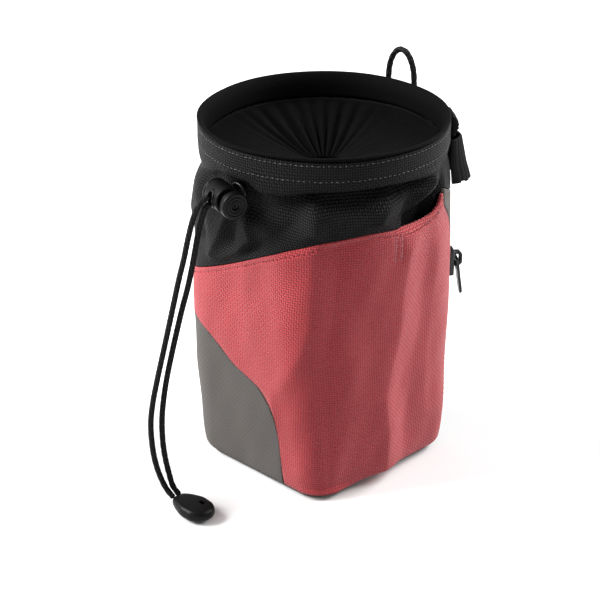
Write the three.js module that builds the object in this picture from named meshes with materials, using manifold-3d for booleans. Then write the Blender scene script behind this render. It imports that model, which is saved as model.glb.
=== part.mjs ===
// Climbing chalk bag, in millimetres. It stands on z = 0 with +Z up.
// The front, with the draw cord, faces -Y, and the open pocket is on the +X side.
// A turn is an angle round the bag in degrees, counted from +X towards +Y.
import * as THREE from 'three';
import { mergeVertices } from 'three/addons/utils/BufferGeometryUtils.js';
import Module from 'manifold-3d';

const wasm = await Module();
wasm.setup();

// The bag as a whole
const height = 173.4;
const mouthRadius = 58;
const baseWidth = 77.4;
const baseDepth = 84.3;
const baseCorner = 12;
const gap = 0.4;

// Cloth and bands
const bandHeight = 15.5;
const bandWall = 2.1;
const lipWall = 1.6;
const rimLiningHeight = 11.5;
const panelWall = 1.8;
const linerWall = 2;
const linerSlack = 1.2;
const skirtWall = 1.4;
const baseWall = 2;
const foldDepth = 3;
const collarTuck = 3;

// Closure skirt inside the mouth
const neckRadius = 9.5;
const skirtDrop = 13;
const skirtFolds = 16;
const skirtFoldDepth = 1.7;

// Open pocket between the red panel and the collar
const pocketGape = 9;
const pocketDepth = 74;
const pocketOverlap = 14;
const gapeRise = 15;
const foldFadeLow = 7;
const foldFadeHigh = 5;

// Zip at the back right corner
const zipTurn = 53;
const zipLow = 28;
const zipHigh = 108;
const zipSlotWidth = 9.4;
const zipTapeWall = 1.1;
const toothPitch = 5;
const toothReach = 1.7;
const toothProud = 1.6;
const sliderLength = 12.5;
const sliderWidth = 8.2;
const sliderPlate = 1.4;
const sliderTop = 101.5;
const crownWidth = 3;
const crownHole = 2.7;
const crownHoleLength = 4.6;
const crownWall = 1.5;
const pullerLength = 18.5;
const pullerWidth = 6.6;
const pullerWall = 1.4;
const pullerTilt = 9;

// Brush loop, rim tab and hanging loop
const brushTurn = 53;
const brushSpan = 16;
const brushOverlap = 2.2;
const brushLength = 22;
const brushWall = 1.4;
const brushProudTop = 6.5;
const brushProudLow = 11;
const brushRib = 0.35;
const tabSpan = 10;
const tabProud = 4;
const hangTurn = 96.5;
const hangSpan = 15;
const hangRise = 14.6;
const hangDrop = 13;
const hangCord = 3;

// Cord lock, its button and its eyelet
const lockTurn = -91.5;
const lockDrop = 8.9;
const lockSwing = 15.5;
const lockRadius = 6.4;
const lockLength = 14;
const lockBore = 4.7;
const lockEndWall = 1.6;
const lockButtonGap = 3.8;
const lockTravel = 3.5;
const lockCap = 3.6;
const runningGap = 0.25;
const cordHoleWidth = 3.6;
const cordHoleHeight = 7;
const eyeletRadius = 5.2;
const lockStandOff = 2;

// Draw cord and its end piece
const cordDiameter = 2.8;
const cordSides = 8;
const cordSteps = 30;
const endLength = 22.5;
const endWidth = 15.4;
const endHeight = 8.2;
const endPlace = new THREE.Vector2(5.6, -90.6);
const endHeading = -3;

// Each strand runs from the cord lock down to the end piece on the floor.
const STRAND_LEFT = [
  [-4.5, -67.8, 150.8], [-5.6, -70.5, 149.2], [-7.6, -72.6, 145.2], [-9.2, -74, 139.5],
  [-10.8, -75.6, 130.5], [-12, -77.4, 120.5], [-13, -79.6, 111.5], [-14, -82.4, 99.5],
  [-15, -85, 88], [-16, -88, 75.5], [-17, -91, 63], [-17.9, -93.4, 51.5],
  [-18, -95, 41.5], [-17, -95.6, 31.5], [-15.6, -95.4, 23], [-13.6, -94.4, 15],
  [-10.8, -93, 8.4], [-6.8, -92, 4.6],
];
const STRAND_RIGHT = [
  [-4.5, -67.8, 147.2], [-5.2, -70, 145], [-6.6, -71, 140], [-7.8, -72, 133.5],
  [-8.8, -73.4, 124.5], [-9.6, -75, 115.5], [-10.6, -77, 106], [-11.8, -79.4, 96.5],
  [-13, -81.8, 86], [-14, -84.2, 75.5], [-14.9, -86.8, 64], [-15.5, -88.8, 53],
  [-15.6, -90.2, 42.5], [-14.9, -90.8, 32], [-13.9, -90.6, 23.5], [-12.3, -90, 15.5],
  [-10.4, -89.2, 8.4], [-6.8, -88.4, 4.6],
];

// The body from the floor (up 0) to the rim band (up 1). Flare is the way from the base's half sizes
// to the tuck under the band, round the way from the base's corner to a circle, and lean a sideways sag.
const PROFILE = [
  { up: 0, flare: 0, round: 0, lean: 0 },
  { up: 0.033, flare: 0.27, round: 0.05, lean: 0 },
  { up: 0.13, flare: 0.42, round: 0.14, lean: 0 },
  { up: 0.33, flare: 0.6, round: 0.28, lean: -0.017 },
  { up: 0.55, flare: 0.75, round: 0.41, lean: -0.017 },
  { up: 0.725, flare: 0.81, round: 0.55, lean: 0 },
  { up: 0.87, flare: 0.94, round: 0.74, lean: 0 },
  { up: 0.96, flare: 1.03, round: 0.94, lean: 0 },
  { up: 1, flare: 1, round: 1, lean: 0 },
];

// Turns where the panels meet: the left seam at the back, the pocket's raised tip and the right seam.
const leftSeam = -149;
const pocketTip = 25.4;
const backStart = pocketTip + 1;
const rightSeam = 45;

// Top edge of the red pocket panel, then its right seam down to the zip side.
const POCKET_TOP = [
  { turn: leftSeam, up: 0.589 }, { turn: -133, up: 0.617 }, { turn: -109, up: 0.679 },
  { turn: -83, up: 0.751 }, { turn: -70, up: 0.79 }, { turn: -59, up: 0.821 },
  { turn: -43, up: 0.85 }, { turn: -25, up: 0.861 }, { turn: -8, up: 0.85 },
  { turn: 5, up: 0.846 }, { turn: 16, up: 0.853 }, { turn: 21, up: 0.868 },
  { turn: pocketTip, up: 0.896 }, { turn: 26.2, up: 0.864 }, { turn: 30, up: 0.832 },
  { turn: 34, up: 0.804 }, { turn: 38.5, up: 0.763 }, { turn: 42, up: 0.709 },
  { turn: rightSeam, up: 0.62 },
];

// Curved seam between the grey side panel and the red pocket panel.
const SIDE_SEAM = [
  { turn: leftSeam, up: 0.507 }, { turn: -132, up: 0.481 }, { turn: -117.6, up: 0.453 },
  { turn: -107.8, up: 0.412 }, { turn: -99, up: 0.374 }, { turn: -89.7, up: 0.353 },
  { turn: -80.4, up: 0.33 }, { turn: -74.5, up: 0.294 }, { turn: -71, up: 0.253 },
  { turn: -69.2, up: 0.2 }, { turn: -68.2, up: 0.11 }, { turn: -67.4, up: 0.04 },
];

// Top edge of the grey back panel, from the pocket round the back to the left seam.
const BACK_TOP = [
  { turn: 26, up: 0.912 }, { turn: 35, up: 0.886 }, { turn: 48, up: 0.855 },
  { turn: 70, up: 0.823 }, { turn: 100, up: 0.792 }, { turn: 130, up: 0.741 },
  { turn: 160, up: 0.684 }, { turn: 190, up: 0.621 }, { turn: leftSeam + 360, up: 0.589 },
];

// Soft folds of the collar: where each lies, how wide and tall it is, and how far it stands out.
const FOLDS = [
  { turn: -98, up: 0.93, wide: 15, tall: 0.06, out: -1 },
  { turn: -128, up: 0.93, wide: 14, tall: 0.05, out: 0.3 },
  { turn: -112, up: 0.83, wide: 6, tall: 0.07, out: 0.35 },
  { turn: -98, up: 0.81, wide: 5, tall: 0.05, out: -0.35 },
  { turn: -72, up: 0.93, wide: 10, tall: 0.06, out: -0.9 },
  { turn: -50, up: 0.93, wide: 7, tall: 0.09, out: 0.5 },
  { turn: -32, up: 0.95, wide: 12, tall: 0.05, out: -0.7 },
  { turn: -14, up: 0.93, wide: 7, tall: 0.06, out: 0.3 },
  { turn: 80, up: 0.94, wide: 14, tall: 0.06, out: -0.6 },
  { turn: 125, up: 0.9, wide: 12, tall: 0.07, out: 0.4 },
  { turn: 165, up: 0.88, wide: 15, tall: 0.08, out: -0.6 },
  { turn: 200, up: 0.8, wide: 12, tall: 0.1, out: 0.4 },
];

// Turns between which the collar falls back at the open pocket.
const GAPE = { starts: -12, full: 2, closes: 18, ends: 28 };

// How the closure skirt falls from its seam (across 0) to the neck (across 1).
const SKIRT = [
  { across: 0, fall: 0, fold: 0 },
  { across: 0.12, fall: 0.12, fold: 0.35 },
  { across: 0.35, fall: 0.4, fold: 0.75 },
  { across: 0.65, fall: 0.7, fold: 1 },
  { across: 0.9, fall: 0.93, fold: 0.8 },
  { across: 1, fall: 1, fold: 0.5 },
];

// Half outline of the cord's end piece: wide is a share of half its width, along of its length.
const END_OUTLINE = [
  { along: 0, wide: 0.5 }, { along: 0.1, wide: 0.66 }, { along: 0.28, wide: 0.86 },
  { along: 0.5, wide: 1 }, { along: 0.7, wide: 0.97 }, { along: 0.86, wide: 0.76 },
  { along: 0.96, wide: 0.42 },
];

const bodyTop = height - bandHeight;
const lockHeight = bodyTop - lockDrop;
const tuckRadius = mouthRadius - bandWall - gap;
const linerGap = panelWall + linerSlack;
const panelLow = baseWall + gap;
const COLUMN_COUNT = 48;
const CORNER_CROWDING = 0.35;
const columnClear = 1.8;

const toRadians = THREE.MathUtils.degToRad;
const mix = THREE.MathUtils.lerp;
const ease = THREE.MathUtils.smoothstep;

// A smooth curve through a table's rows that never overshoots them.
function curve(rows, from, to) {
  const x = rows.map((row) => row[from]);
  const y = rows.map((row) => row[to]);
  const last = x.length - 1;
  const rise = [];
  for (let i = 0; i < last; i += 1) {
    rise.push((y[i + 1] - y[i]) / (x[i + 1] - x[i]));
  }
  const slope = x.map((_, i) => {
    if (i === 0) return rise[0];
    if (i === last) return rise[last - 1];
    if (rise[i - 1] * rise[i] <= 0) return 0;
    return (2 * rise[i - 1] * rise[i]) / (rise[i - 1] + rise[i]);
  });
  return (value) => {
    const at = THREE.MathUtils.clamp(value, x[0], x[last]);
    let i = 0;
    while (i < last - 1 && at > x[i + 1]) i += 1;
    const step = x[i + 1] - x[i];
    const t = (at - x[i]) / step;
    const start = (2 * t ** 3 - 3 * t ** 2 + 1) * y[i] + (t ** 3 - 2 * t ** 2 + t) * step * slope[i];
    const end = (3 * t ** 2 - 2 * t ** 3) * y[i + 1] + (t ** 3 - t ** 2) * step * slope[i + 1];
    return start + end;
  };
}

const flareAt = curve(PROFILE, 'up', 'flare');
const roundAt = curve(PROFILE, 'up', 'round');
const leanAt = curve(PROFILE, 'up', 'lean');
const pocketTopAt = curve(POCKET_TOP, 'turn', 'up');
const sideSeamAt = curve(SIDE_SEAM, 'turn', 'up');
const backTopAt = curve(BACK_TOP, 'turn', 'up');

function pocketTop(turn) {
  return bodyTop * pocketTopAt(turn);
}

function sideSeam(turn) {
  return bodyTop * sideSeamAt(turn);
}

function backTop(turn) {
  return bodyTop * backTopAt(turn);
}

// A turn brought into the full circle that starts at the left seam.
function wrapped(turn) {
  return ((((turn - leftSeam) % 360) + 360) % 360) + leftSeam;
}

// The lower edge of the collar: the top of whichever panel lies under it.
function panelTop(turn) {
  const at = wrapped(turn);
  return at <= pocketTip ? pocketTop(at) : backTop(at);
}

// Distance from the axis to a rounded rectangle in one direction.
function roundedReach(turn, halfX, halfY, corner) {
  const along = Math.abs(Math.cos(toRadians(turn)));
  const across = Math.abs(Math.sin(toRadians(turn)));
  const flat = Math.min(halfX / Math.max(along, 1e-9), halfY / Math.max(across, 1e-9));
  const centreX = halfX - corner;
  const centreY = halfY - corner;
  if (flat * along <= centreX || flat * across <= centreY) return flat;
  const b = centreX * along + centreY * across;
  return b + Math.sqrt(Math.max(b * b - centreX ** 2 - centreY ** 2 + corner ** 2, 0));
}

// A point of the body's outer surface, moved inwards by inset.
function bodyPoint(turn, z, inset) {
  const up = z / bodyTop;
  const halfX = mix(baseWidth / 2, tuckRadius, flareAt(up));
  const halfY = mix(baseDepth / 2, tuckRadius, flareAt(up));
  const corner = Math.min(mix(baseCorner, tuckRadius, roundAt(up)), halfX, halfY);
  const reach = roundedReach(turn, halfX - inset, halfY - inset, Math.max(corner - inset, 1));
  const lean = (leanAt(up) * tuckRadius) / Math.SQRT2;
  const angle = toRadians(turn);
  return new THREE.Vector3(reach * Math.cos(angle) + lean, reach * Math.sin(angle) + lean, z);
}

// How far the collar and the liner fall back from the red panel at the open pocket.
function gape(turn, z) {
  const at = wrapped(turn);
  const edge = pocketTop(Math.min(at, pocketTip));
  const round = ease(at, GAPE.starts, GAPE.full) * (1 - ease(at, GAPE.closes, GAPE.ends));
  const upward = 1 - ease(z, edge, edge + gapeRise);
  const downward = ease(z, edge - pocketDepth, edge - pocketOverlap);
  return pocketGape * round * upward * downward;
}

// Soft folds fade out at the collar's two edges.
function collarWindow(turn, z) {
  const edge = panelTop(turn);
  return ease(z, edge, edge + foldFadeLow) * (1 - ease(z, bodyTop - foldFadeHigh, bodyTop));
}

function folds(turn, z) {
  let out = 0;
  for (const fold of FOLDS) {
    const side = (((turn - fold.turn + 180) % 360) + 360) % 360 - 180;
    const lift = z / bodyTop - fold.up;
    out += fold.out * Math.exp(-((side / fold.wide) ** 2) - (lift / fold.tall) ** 2);
  }
  return foldDepth * out * collarWindow(turn, z);
}

function collarPoint(turn, z, inset) {
  return bodyPoint(turn, z, inset + gape(turn, z) - folds(turn, z));
}

// Columns crowd towards the body's corners, where the outline bends most.
function columnTurn(index) {
  const angle = (index * 2 * Math.PI) / COLUMN_COUNT;
  return THREE.MathUtils.radToDeg(angle + (CORNER_CROWDING / 4) * Math.sin(4 * angle));
}

// The columns all round, with extra ones in place of those that lie close to them.
function allColumns(extra = []) {
  const lattice = Array.from({ length: COLUMN_COUNT }, (_, index) => wrapped(columnTurn(index)));
  const kept = lattice.filter((turn) => extra.every((other) => Math.abs(other - turn) > columnClear));
  return [...kept, ...extra].sort((a, b) => a - b);
}

function columnsBetween(from, to, extra = []) {
  const inner = allColumns([from, to, ...extra]).filter((turn) => turn > from && turn < to);
  return [from, ...inner, to];
}

function geometryFrom(points, faces) {
  const geometry = new THREE.BufferGeometry();
  geometry.setAttribute('position', new THREE.Float32BufferAttribute(points.flatMap((p) => p.toArray()), 3));
  geometry.setIndex(faces.flat());
  return geometry;
}

// A closed solid of rings that each run once round the axis. Pass two end points for a cup,
// or none for a band whose last ring joins its first.
function ringSolid(turns, rings, ends) {
  const count = turns.length;
  const points = rings.flatMap((ring) => turns.map((turn) => ring(turn)));
  const faces = [];
  const rows = ends ? rings.length - 1 : rings.length;
  for (let row = 0; row < rows; row += 1) {
    for (let i = 0; i < count; i += 1) {
      const next = (i + 1) % count;
      const below = row * count;
      const above = ((row + 1) % rings.length) * count;
      faces.push([below + i, below + next, above + next], [below + i, above + next, above + i]);
    }
  }
  if (ends) {
    const first = points.push(ends[0]) - 1;
    const last = points.push(ends[1]) - 1;
    const top = (rings.length - 1) * count;
    for (let i = 0; i < count; i += 1) {
      const next = (i + 1) % count;
      faces.push([first, next, i], [last, top + i, top + next]);
    }
  }
  return geometryFrom(points, faces);
}

// A closed sheet over a range of turns, between a lower and an upper edge.
function sheetSolid(turns, low, high, shares, outside, inside) {
  const columns = turns.length;
  const rows = shares.length - 1;
  const points = [];
  for (const side of [outside, inside]) {
    for (const turn of turns) {
      for (const share of shares) {
        points.push(side(turn, mix(low(turn), high(turn), share), share));
      }
    }
  }
  const at = (side, column, row) => (side * columns + column) * (rows + 1) + row;
  const faces = [];
  const quad = (a, b, c, d) => faces.push([a, b, c], [a, c, d]);
  for (let i = 0; i < columns - 1; i += 1) {
    for (let j = 0; j < rows; j += 1) {
      quad(at(0, i, j), at(0, i + 1, j), at(0, i + 1, j + 1), at(0, i, j + 1));
      quad(at(1, i, j), at(1, i, j + 1), at(1, i + 1, j + 1), at(1, i + 1, j));
    }
    quad(at(0, i, 0), at(1, i, 0), at(1, i + 1, 0), at(0, i + 1, 0));
    quad(at(0, i, rows), at(0, i + 1, rows), at(1, i + 1, rows), at(1, i, rows));
  }
  for (let j = 0; j < rows; j += 1) {
    const last = columns - 1;
    quad(at(0, 0, j), at(0, 0, j + 1), at(1, 0, j + 1), at(1, 0, j));
    quad(at(0, last, j), at(1, last, j), at(1, last, j + 1), at(0, last, j + 1));
  }
  return geometryFrom(points, faces);
}

// A ring turned round +Z from a closed list of radius and height pairs.
function turnedRing(pairs, sides) {
  const profile = [...pairs, pairs[0]].map(([radius, z]) => new THREE.Vector2(radius, z));
  return new THREE.LatheGeometry(profile, sides).rotateX(Math.PI / 2);
}

function asSolid(geometry) {
  const plain = geometry.clone();
  plain.deleteAttribute('normal');
  plain.deleteAttribute('uv');
  const merged = mergeVertices(plain, 1e-4);
  const mesh = new wasm.Mesh({
    numProp: 3,
    vertProperties: new Float32Array(merged.attributes.position.array),
    triVerts: new Uint32Array(merged.index.array),
  });
  return new wasm.Manifold(mesh);
}

function asGeometry(solid) {
  const mesh = solid.getMesh();
  const geometry = new THREE.BufferGeometry();
  geometry.setAttribute('position', new THREE.BufferAttribute(new Float32Array(mesh.vertProperties), 3));
  geometry.setIndex(new THREE.BufferAttribute(new Uint32Array(mesh.triVerts), 1));
  return geometry;
}

function cut(geometry, ...tools) {
  return asGeometry(tools.reduce((solid, tool) => solid.subtract(asSolid(tool)), asSolid(geometry)));
}

function joined(geometry, ...others) {
  return asGeometry(others.reduce((solid, other) => solid.add(asSolid(other)), asSolid(geometry)));
}

const blackCloth = { color: 0x1b1b1c, roughness: 0.85, metalness: 0 };
const blackFleece = { color: 0x0d0d0e, roughness: 0.95, metalness: 0 };
const redCloth = { color: 0xc1484f, roughness: 0.8, metalness: 0 };
const greyCloth = { color: 0x6f6a66, roughness: 0.85, metalness: 0 };
const blackWebbing = { color: 0x141414, roughness: 0.8, metalness: 0 };
const blackCord = { color: 0x101010, roughness: 0.75, metalness: 0 };
const blackPlastic = { color: 0x161617, roughness: 0.4, metalness: 0 };
const blackMetal = { color: 0x1e1e20, roughness: 0.35, metalness: 0.6 };

const bag = new THREE.Group();
bag.name = 'chalk_bag';

function addPiece(name, geometry, finish, parent = bag) {
  const mesh = new THREE.Mesh(geometry, new THREE.MeshStandardMaterial(finish));
  mesh.name = name;
  parent.add(mesh);
  return mesh;
}

// Rim: a stiff band outside, and a lining that turns over its top edge.
const rimSides = 44;
const lipLow = height - lipWall;
const bandTop = lipLow - gap;
const rimInner = tuckRadius - panelWall;
const bevel = 0.7;

addPiece('rim_band', turnedRing([
  [mouthRadius - bandWall, bodyTop],
  [mouthRadius - bevel, bodyTop],
  [mouthRadius, bodyTop + bevel],
  [mouthRadius, bandTop],
  [mouthRadius - bandWall, bandTop],
], rimSides), blackCloth);

addPiece('rim_lining', turnedRing([
  [rimInner, height - rimLiningHeight],
  [tuckRadius, height - rimLiningHeight],
  [tuckRadius, lipLow],
  [mouthRadius, lipLow],
  [mouthRadius, height - bevel],
  [mouthRadius - bevel, height],
  [rimInner + bevel, height],
  [rimInner, height - bevel],
], rimSides), blackFleece);

// Liner: the soft inner cup that holds the chalk.
const linerFloor = baseWall + gap;
const linerTop = bodyTop - 2 * linerWall;
const LINER_LEVELS = [0.02, 0.08, 0.2, 0.36, 0.52, 0.68, 0.8, 0.87, 0.92, 0.965, 1];
const LINER_INSIDE_LEVELS = [0.02, 0.2, 0.5, 0.76, 0.87, 1];

function linerPoint(turn, z, inset) {
  const slack = foldDepth * collarWindow(turn, z);
  return bodyPoint(turn, z, inset + slack + gape(turn, z));
}

const linerOutside = LINER_LEVELS.map((up) => (turn) => linerPoint(turn, mix(linerFloor, linerTop, up), linerGap));
const linerInside = LINER_INSIDE_LEVELS.map((up) => {
  const z = mix(linerFloor + linerWall, linerTop, up);
  return (turn) => linerPoint(turn, z, linerGap + linerWall);
});
const linerEdge = (turn) => linerPoint(turn, linerFloor, linerGap + linerWall);

addPiece('liner', ringSolid(
  allColumns(),
  [linerEdge, ...linerOutside, ...linerInside.reverse()],
  [new THREE.Vector3(0, 0, linerFloor), new THREE.Vector3(0, 0, linerFloor + linerWall)],
), blackFleece);

// Closure skirt: gathered cloth that falls from the rim lining to the neck.
const skirtSeam = height - rimLiningHeight - gap;
const skirtOuter = rimInner - gap;
const fallAt = curve(SKIRT, 'across', 'fall');
const foldAt = curve(SKIRT, 'across', 'fold');

function skirtPoint(turn, across, under) {
  const ripple = 0.5 + 0.5 * Math.cos(toRadians(turn) * skirtFolds);
  const z = skirtSeam - skirtDrop * fallAt(across) - skirtFoldDepth * foldAt(across) * ripple - under;
  const reach = mix(skirtOuter, neckRadius, across);
  const angle = toRadians(turn);
  return new THREE.Vector3(reach * Math.cos(angle), reach * Math.sin(angle), z);
}

const skirtTurns = Array.from({ length: skirtFolds * 4 }, (_, i) => (i * 360) / (skirtFolds * 4));
const skirtAbove = SKIRT.map((row) => (turn) => skirtPoint(turn, row.across, 0));
const skirtBelow = SKIRT.filter((_, i) => i !== 1).map((row) => (turn) => skirtPoint(turn, row.across, skirtWall));

addPiece('closure_skirt', ringSolid(skirtTurns, [...skirtAbove, ...skirtBelow.reverse()]), blackFleece);

// Collar: the soft upper cloth, which falls back behind the red panel at the open pocket.
function collarLow(turn) {
  const edge = panelTop(turn);
  return edge + gap - pocketOverlap * ease(gape(turn, edge), 3.2, 5.5);
}

const collarHigh = bodyTop + collarTuck;
const collarRings = 5;
const dropTurns = [-9, -6, -3, 0, 18, 20.5, 22.7, 24.4, pocketTip, backStart];
const collarOutside = [];
const collarInside = [];
for (let ring = 0; ring <= collarRings; ring += 1) {
  const level = (turn) => mix(collarLow(turn), bodyTop, ring / collarRings);
  collarOutside.push((turn) => collarPoint(turn, level(turn), 0));
  collarInside.push((turn) => collarPoint(turn, level(turn), panelWall));
}
collarOutside.push((turn) => bodyPoint(turn, bodyTop, 0).setZ(collarHigh));
collarInside.push((turn) => bodyPoint(turn, bodyTop, panelWall).setZ(collarHigh));

const collarWhole = ringSolid(allColumns(dropTurns), [...collarOutside, ...collarInside.reverse()]);

// Cord lock: its frame has X along the barrel towards the button, Y towards the bag and Z up.
const seatPoint = collarPoint(lockTurn, lockHeight, 0);
const seatReach = Math.hypot(seatPoint.x, seatPoint.y);
const lockOut = new THREE.Vector3(Math.cos(toRadians(lockTurn)), Math.sin(toRadians(lockTurn)), 0);
const lockGroup = new THREE.Group();
lockGroup.position.copy(lockOut).multiplyScalar(seatReach + lockStandOff + lockRadius).setZ(lockHeight);
lockGroup.rotation.z = toRadians(lockTurn + 90 - lockSwing);
bag.add(lockGroup);

const lockSides = 18;
const edgeBevel = 0.8;
const holePlace = -1;
const barrelStart = -0.66 * lockLength;
const barrelEnd = barrelStart + lockLength;
const boreStart = barrelStart + lockEndWall;
const plungerStart = boreStart + lockTravel + runningGap;
const capStart = barrelEnd + lockButtonGap;
const capEnd = capStart + lockCap;

// A solid turned round the barrel's axis from distance and radius pairs.
function alongBarrel(pairs) {
  const profile = pairs.map(([along, radius]) => new THREE.Vector2(radius, along));
  return new THREE.LatheGeometry(profile, lockSides).rotateZ(-Math.PI / 2);
}

// An upright slot for two strands, right through the lock along its Y axis.
function cordSlot(from, to) {
  const half = cordHoleHeight / 2;
  const corner = cordHoleWidth / 3;
  const outline = new THREE.Shape([
    new THREE.Vector2(from, corner - half),
    new THREE.Vector2(from + corner, -half),
    new THREE.Vector2(to - corner, -half),
    new THREE.Vector2(to, corner - half),
    new THREE.Vector2(to, half - corner),
    new THREE.Vector2(to - corner, half),
    new THREE.Vector2(from + corner, half),
    new THREE.Vector2(from, half - corner),
  ]);
  const depth = 4 * lockRadius;
  const tool = new THREE.ExtrudeGeometry(outline, { depth, bevelEnabled: false });
  return tool.translate(0, 0, -depth / 2).rotateX(Math.PI / 2);
}

const barrel = alongBarrel([
  [barrelStart, 0],
  [barrelStart, lockRadius - edgeBevel],
  [barrelStart + edgeBevel, lockRadius],
  [barrelEnd - edgeBevel / 2, lockRadius],
  [barrelEnd, lockRadius - edgeBevel / 2],
  [barrelEnd, lockBore],
  [boreStart, lockBore],
  [boreStart, 0],
]);
const slotStart = holePlace - cordHoleWidth / 2;
const slotEnd = holePlace + cordHoleWidth / 2;
addPiece('cord_lock_barrel', cut(barrel, cordSlot(slotStart, slotEnd)), blackPlastic, lockGroup);

// The button's own slot is longer by its travel, so the strands stay clear of it.
const plungerRadius = lockBore - runningGap;
const button = alongBarrel([
  [plungerStart, 0],
  [plungerStart, plungerRadius],
  [capStart, plungerRadius],
  [capStart, lockRadius - edgeBevel / 2],
  [capStart + edgeBevel / 2, lockRadius],
  [capEnd - edgeBevel, lockRadius],
  [capEnd, lockRadius - edgeBevel],
  [capEnd, lockRadius * 0.3],
  [capEnd - edgeBevel, lockRadius * 0.22],
  [capEnd - edgeBevel, 0],
]);
addPiece('cord_lock_button', cut(button, cordSlot(slotStart, slotEnd + lockTravel)), blackPlastic, lockGroup);

// Eyelet: a ring set in the collar behind the cord lock, where the draw cord comes out.
const eyeletSides = 12;
const eyeletHole = cordHoleHeight / 2;
const eyeletRing = turnedRing([
  [eyeletHole, -panelWall],
  [eyeletRadius, -panelWall],
  [eyeletRadius, 0],
  [eyeletHole, 0],
], eyeletSides).rotateX(Math.PI / 2);
const eyelet = addPiece('cord_eyelet', eyeletRing, blackMetal);
eyelet.position.copy(lockOut).multiplyScalar(seatReach).setZ(lockHeight);
eyelet.rotation.z = toRadians(lockTurn + 90);

const seatRadius = eyeletRadius + gap;
const eyeletSeat = new THREE.CylinderGeometry(seatRadius, seatRadius, panelWall * 6, eyeletSides);
eyeletSeat.rotateZ(eyelet.rotation.z).translate(eyelet.position.x, eyelet.position.y, lockHeight);
addPiece('collar', cut(collarWhole, eyeletSeat), blackCloth);

// Outer panels: red pocket panel, grey side panel, grey back panel and grey base.
const POCKET_SHARES = [0, 0.04, 0.13, 0.3, 0.5, 0.7, 0.87, 1];
const SIDE_SHARES = [0, 0.08, 0.25, 0.5, 0.75, 1];
const BACK_SHARES = [0, 0.04, 0.14, 0.32, 0.54, 0.78, 1];
const outside = (turn, z) => bodyPoint(turn, z, 0);
const inside = (turn, z) => bodyPoint(turn, z, panelWall);
const floorEdge = () => panelLow;
const seamTurn = 0.45;
const seamTurns = SIDE_SEAM.slice(2).map((row) => row.turn);
const seamFoot = SIDE_SEAM[SIDE_SEAM.length - 1].turn;
const tipRows = POCKET_TOP.filter((row) => row.turn >= pocketTip && row.turn < rightSeam);
const tipTurns = tipRows.map((row) => row.turn);

function pocketLow(turn) {
  return turn < seamFoot ? sideSeam(turn) + gap / 2 : panelLow;
}

addPiece('pocket_panel', sheetSolid(
  columnsBetween(leftSeam + seamTurn, rightSeam - seamTurn / 2, [...seamTurns, ...tipTurns]),
  pocketLow,
  pocketTop,
  POCKET_SHARES,
  outside,
  inside,
), redCloth);

function sideHigh(turn) {
  return Math.max(sideSeam(turn + seamTurn) - gap / 2, panelLow + 1);
}

addPiece('side_panel', sheetSolid(
  columnsBetween(leftSeam + seamTurn, seamFoot - 1, seamTurns.map((turn) => turn - seamTurn)),
  floorEdge,
  sideHigh,
  SIDE_SHARES,
  outside,
  inside,
), greyCloth);

const backWhole = sheetSolid(
  columnsBetween(backStart, leftSeam + 360 - seamTurn, [...tipTurns.filter((turn) => turn > backStart), rightSeam]),
  floorEdge,
  backTop,
  BACK_SHARES,
  outside,
  inside,
);

// The back panel ends where the pocket panel's right seam runs.
const seamTool = sheetSolid(
  [pocketTip - 1, ...tipTurns, rightSeam],
  () => -gap,
  (turn) => pocketTop(turn - seamTurn) + gap,
  BACK_SHARES,
  (turn, z) => bodyPoint(turn, z, -2 * panelWall),
  (turn, z) => bodyPoint(turn, z, 3 * panelWall),
);

addPiece('base_panel', ringSolid(
  allColumns(),
  [(turn) => bodyPoint(turn, 0, 0), (turn) => bodyPoint(turn, baseWall, 0)],
  [new THREE.Vector3(0, 0, 0), new THREE.Vector3(0, 0, baseWall)],
), greyCloth);

// Zip: its frame stands on the body's surface with X along the wall, Y outwards and Z up the wall.
const zipFoot = bodyPoint(zipTurn, zipLow, 0);
const zipHead = bodyPoint(zipTurn, zipHigh, 0);
const zipRun = zipFoot.distanceTo(zipHead);
const zipUp = new THREE.Vector3().subVectors(zipHead, zipFoot).normalize();
const zipRadial = new THREE.Vector3(Math.cos(toRadians(zipTurn)), Math.sin(toRadians(zipTurn)), 0);
const zipSide = new THREE.Vector3().crossVectors(zipRadial, zipUp).normalize();
const zipOut = new THREE.Vector3().crossVectors(zipUp, zipSide).normalize();
const zipGroup = new THREE.Group();
zipGroup.quaternion.setFromRotationMatrix(new THREE.Matrix4().makeBasis(zipSide, zipOut, zipUp));
zipGroup.position.copy(zipFoot);
bag.add(zipGroup);

const slotTool = new THREE.BoxGeometry(zipSlotWidth, panelWall * 6, zipRun).translate(0, 0, zipRun / 2);
slotTool.applyQuaternion(zipGroup.quaternion).translate(zipFoot.x, zipFoot.y, zipFoot.z);
addPiece('back_panel', cut(backWhole, seamTool, slotTool), greyCloth);

const tape = new THREE.BoxGeometry(zipSlotWidth - 2 * gap, zipTapeWall, zipRun - 2 * gap);
tape.translate(0, -gap - zipTapeWall / 2, zipRun / 2);
addPiece('zip_tape', tape, blackWebbing, zipGroup);

// Turns a solid that was extruded along Z so that its outline stands in X and Z and it grows along Y.
function grownOutwards(outline, depth) {
  const solid = new THREE.ExtrudeGeometry(outline, { depth, bevelEnabled: false });
  return solid.rotateX(Math.PI / 2).translate(0, depth, 0);
}

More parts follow.
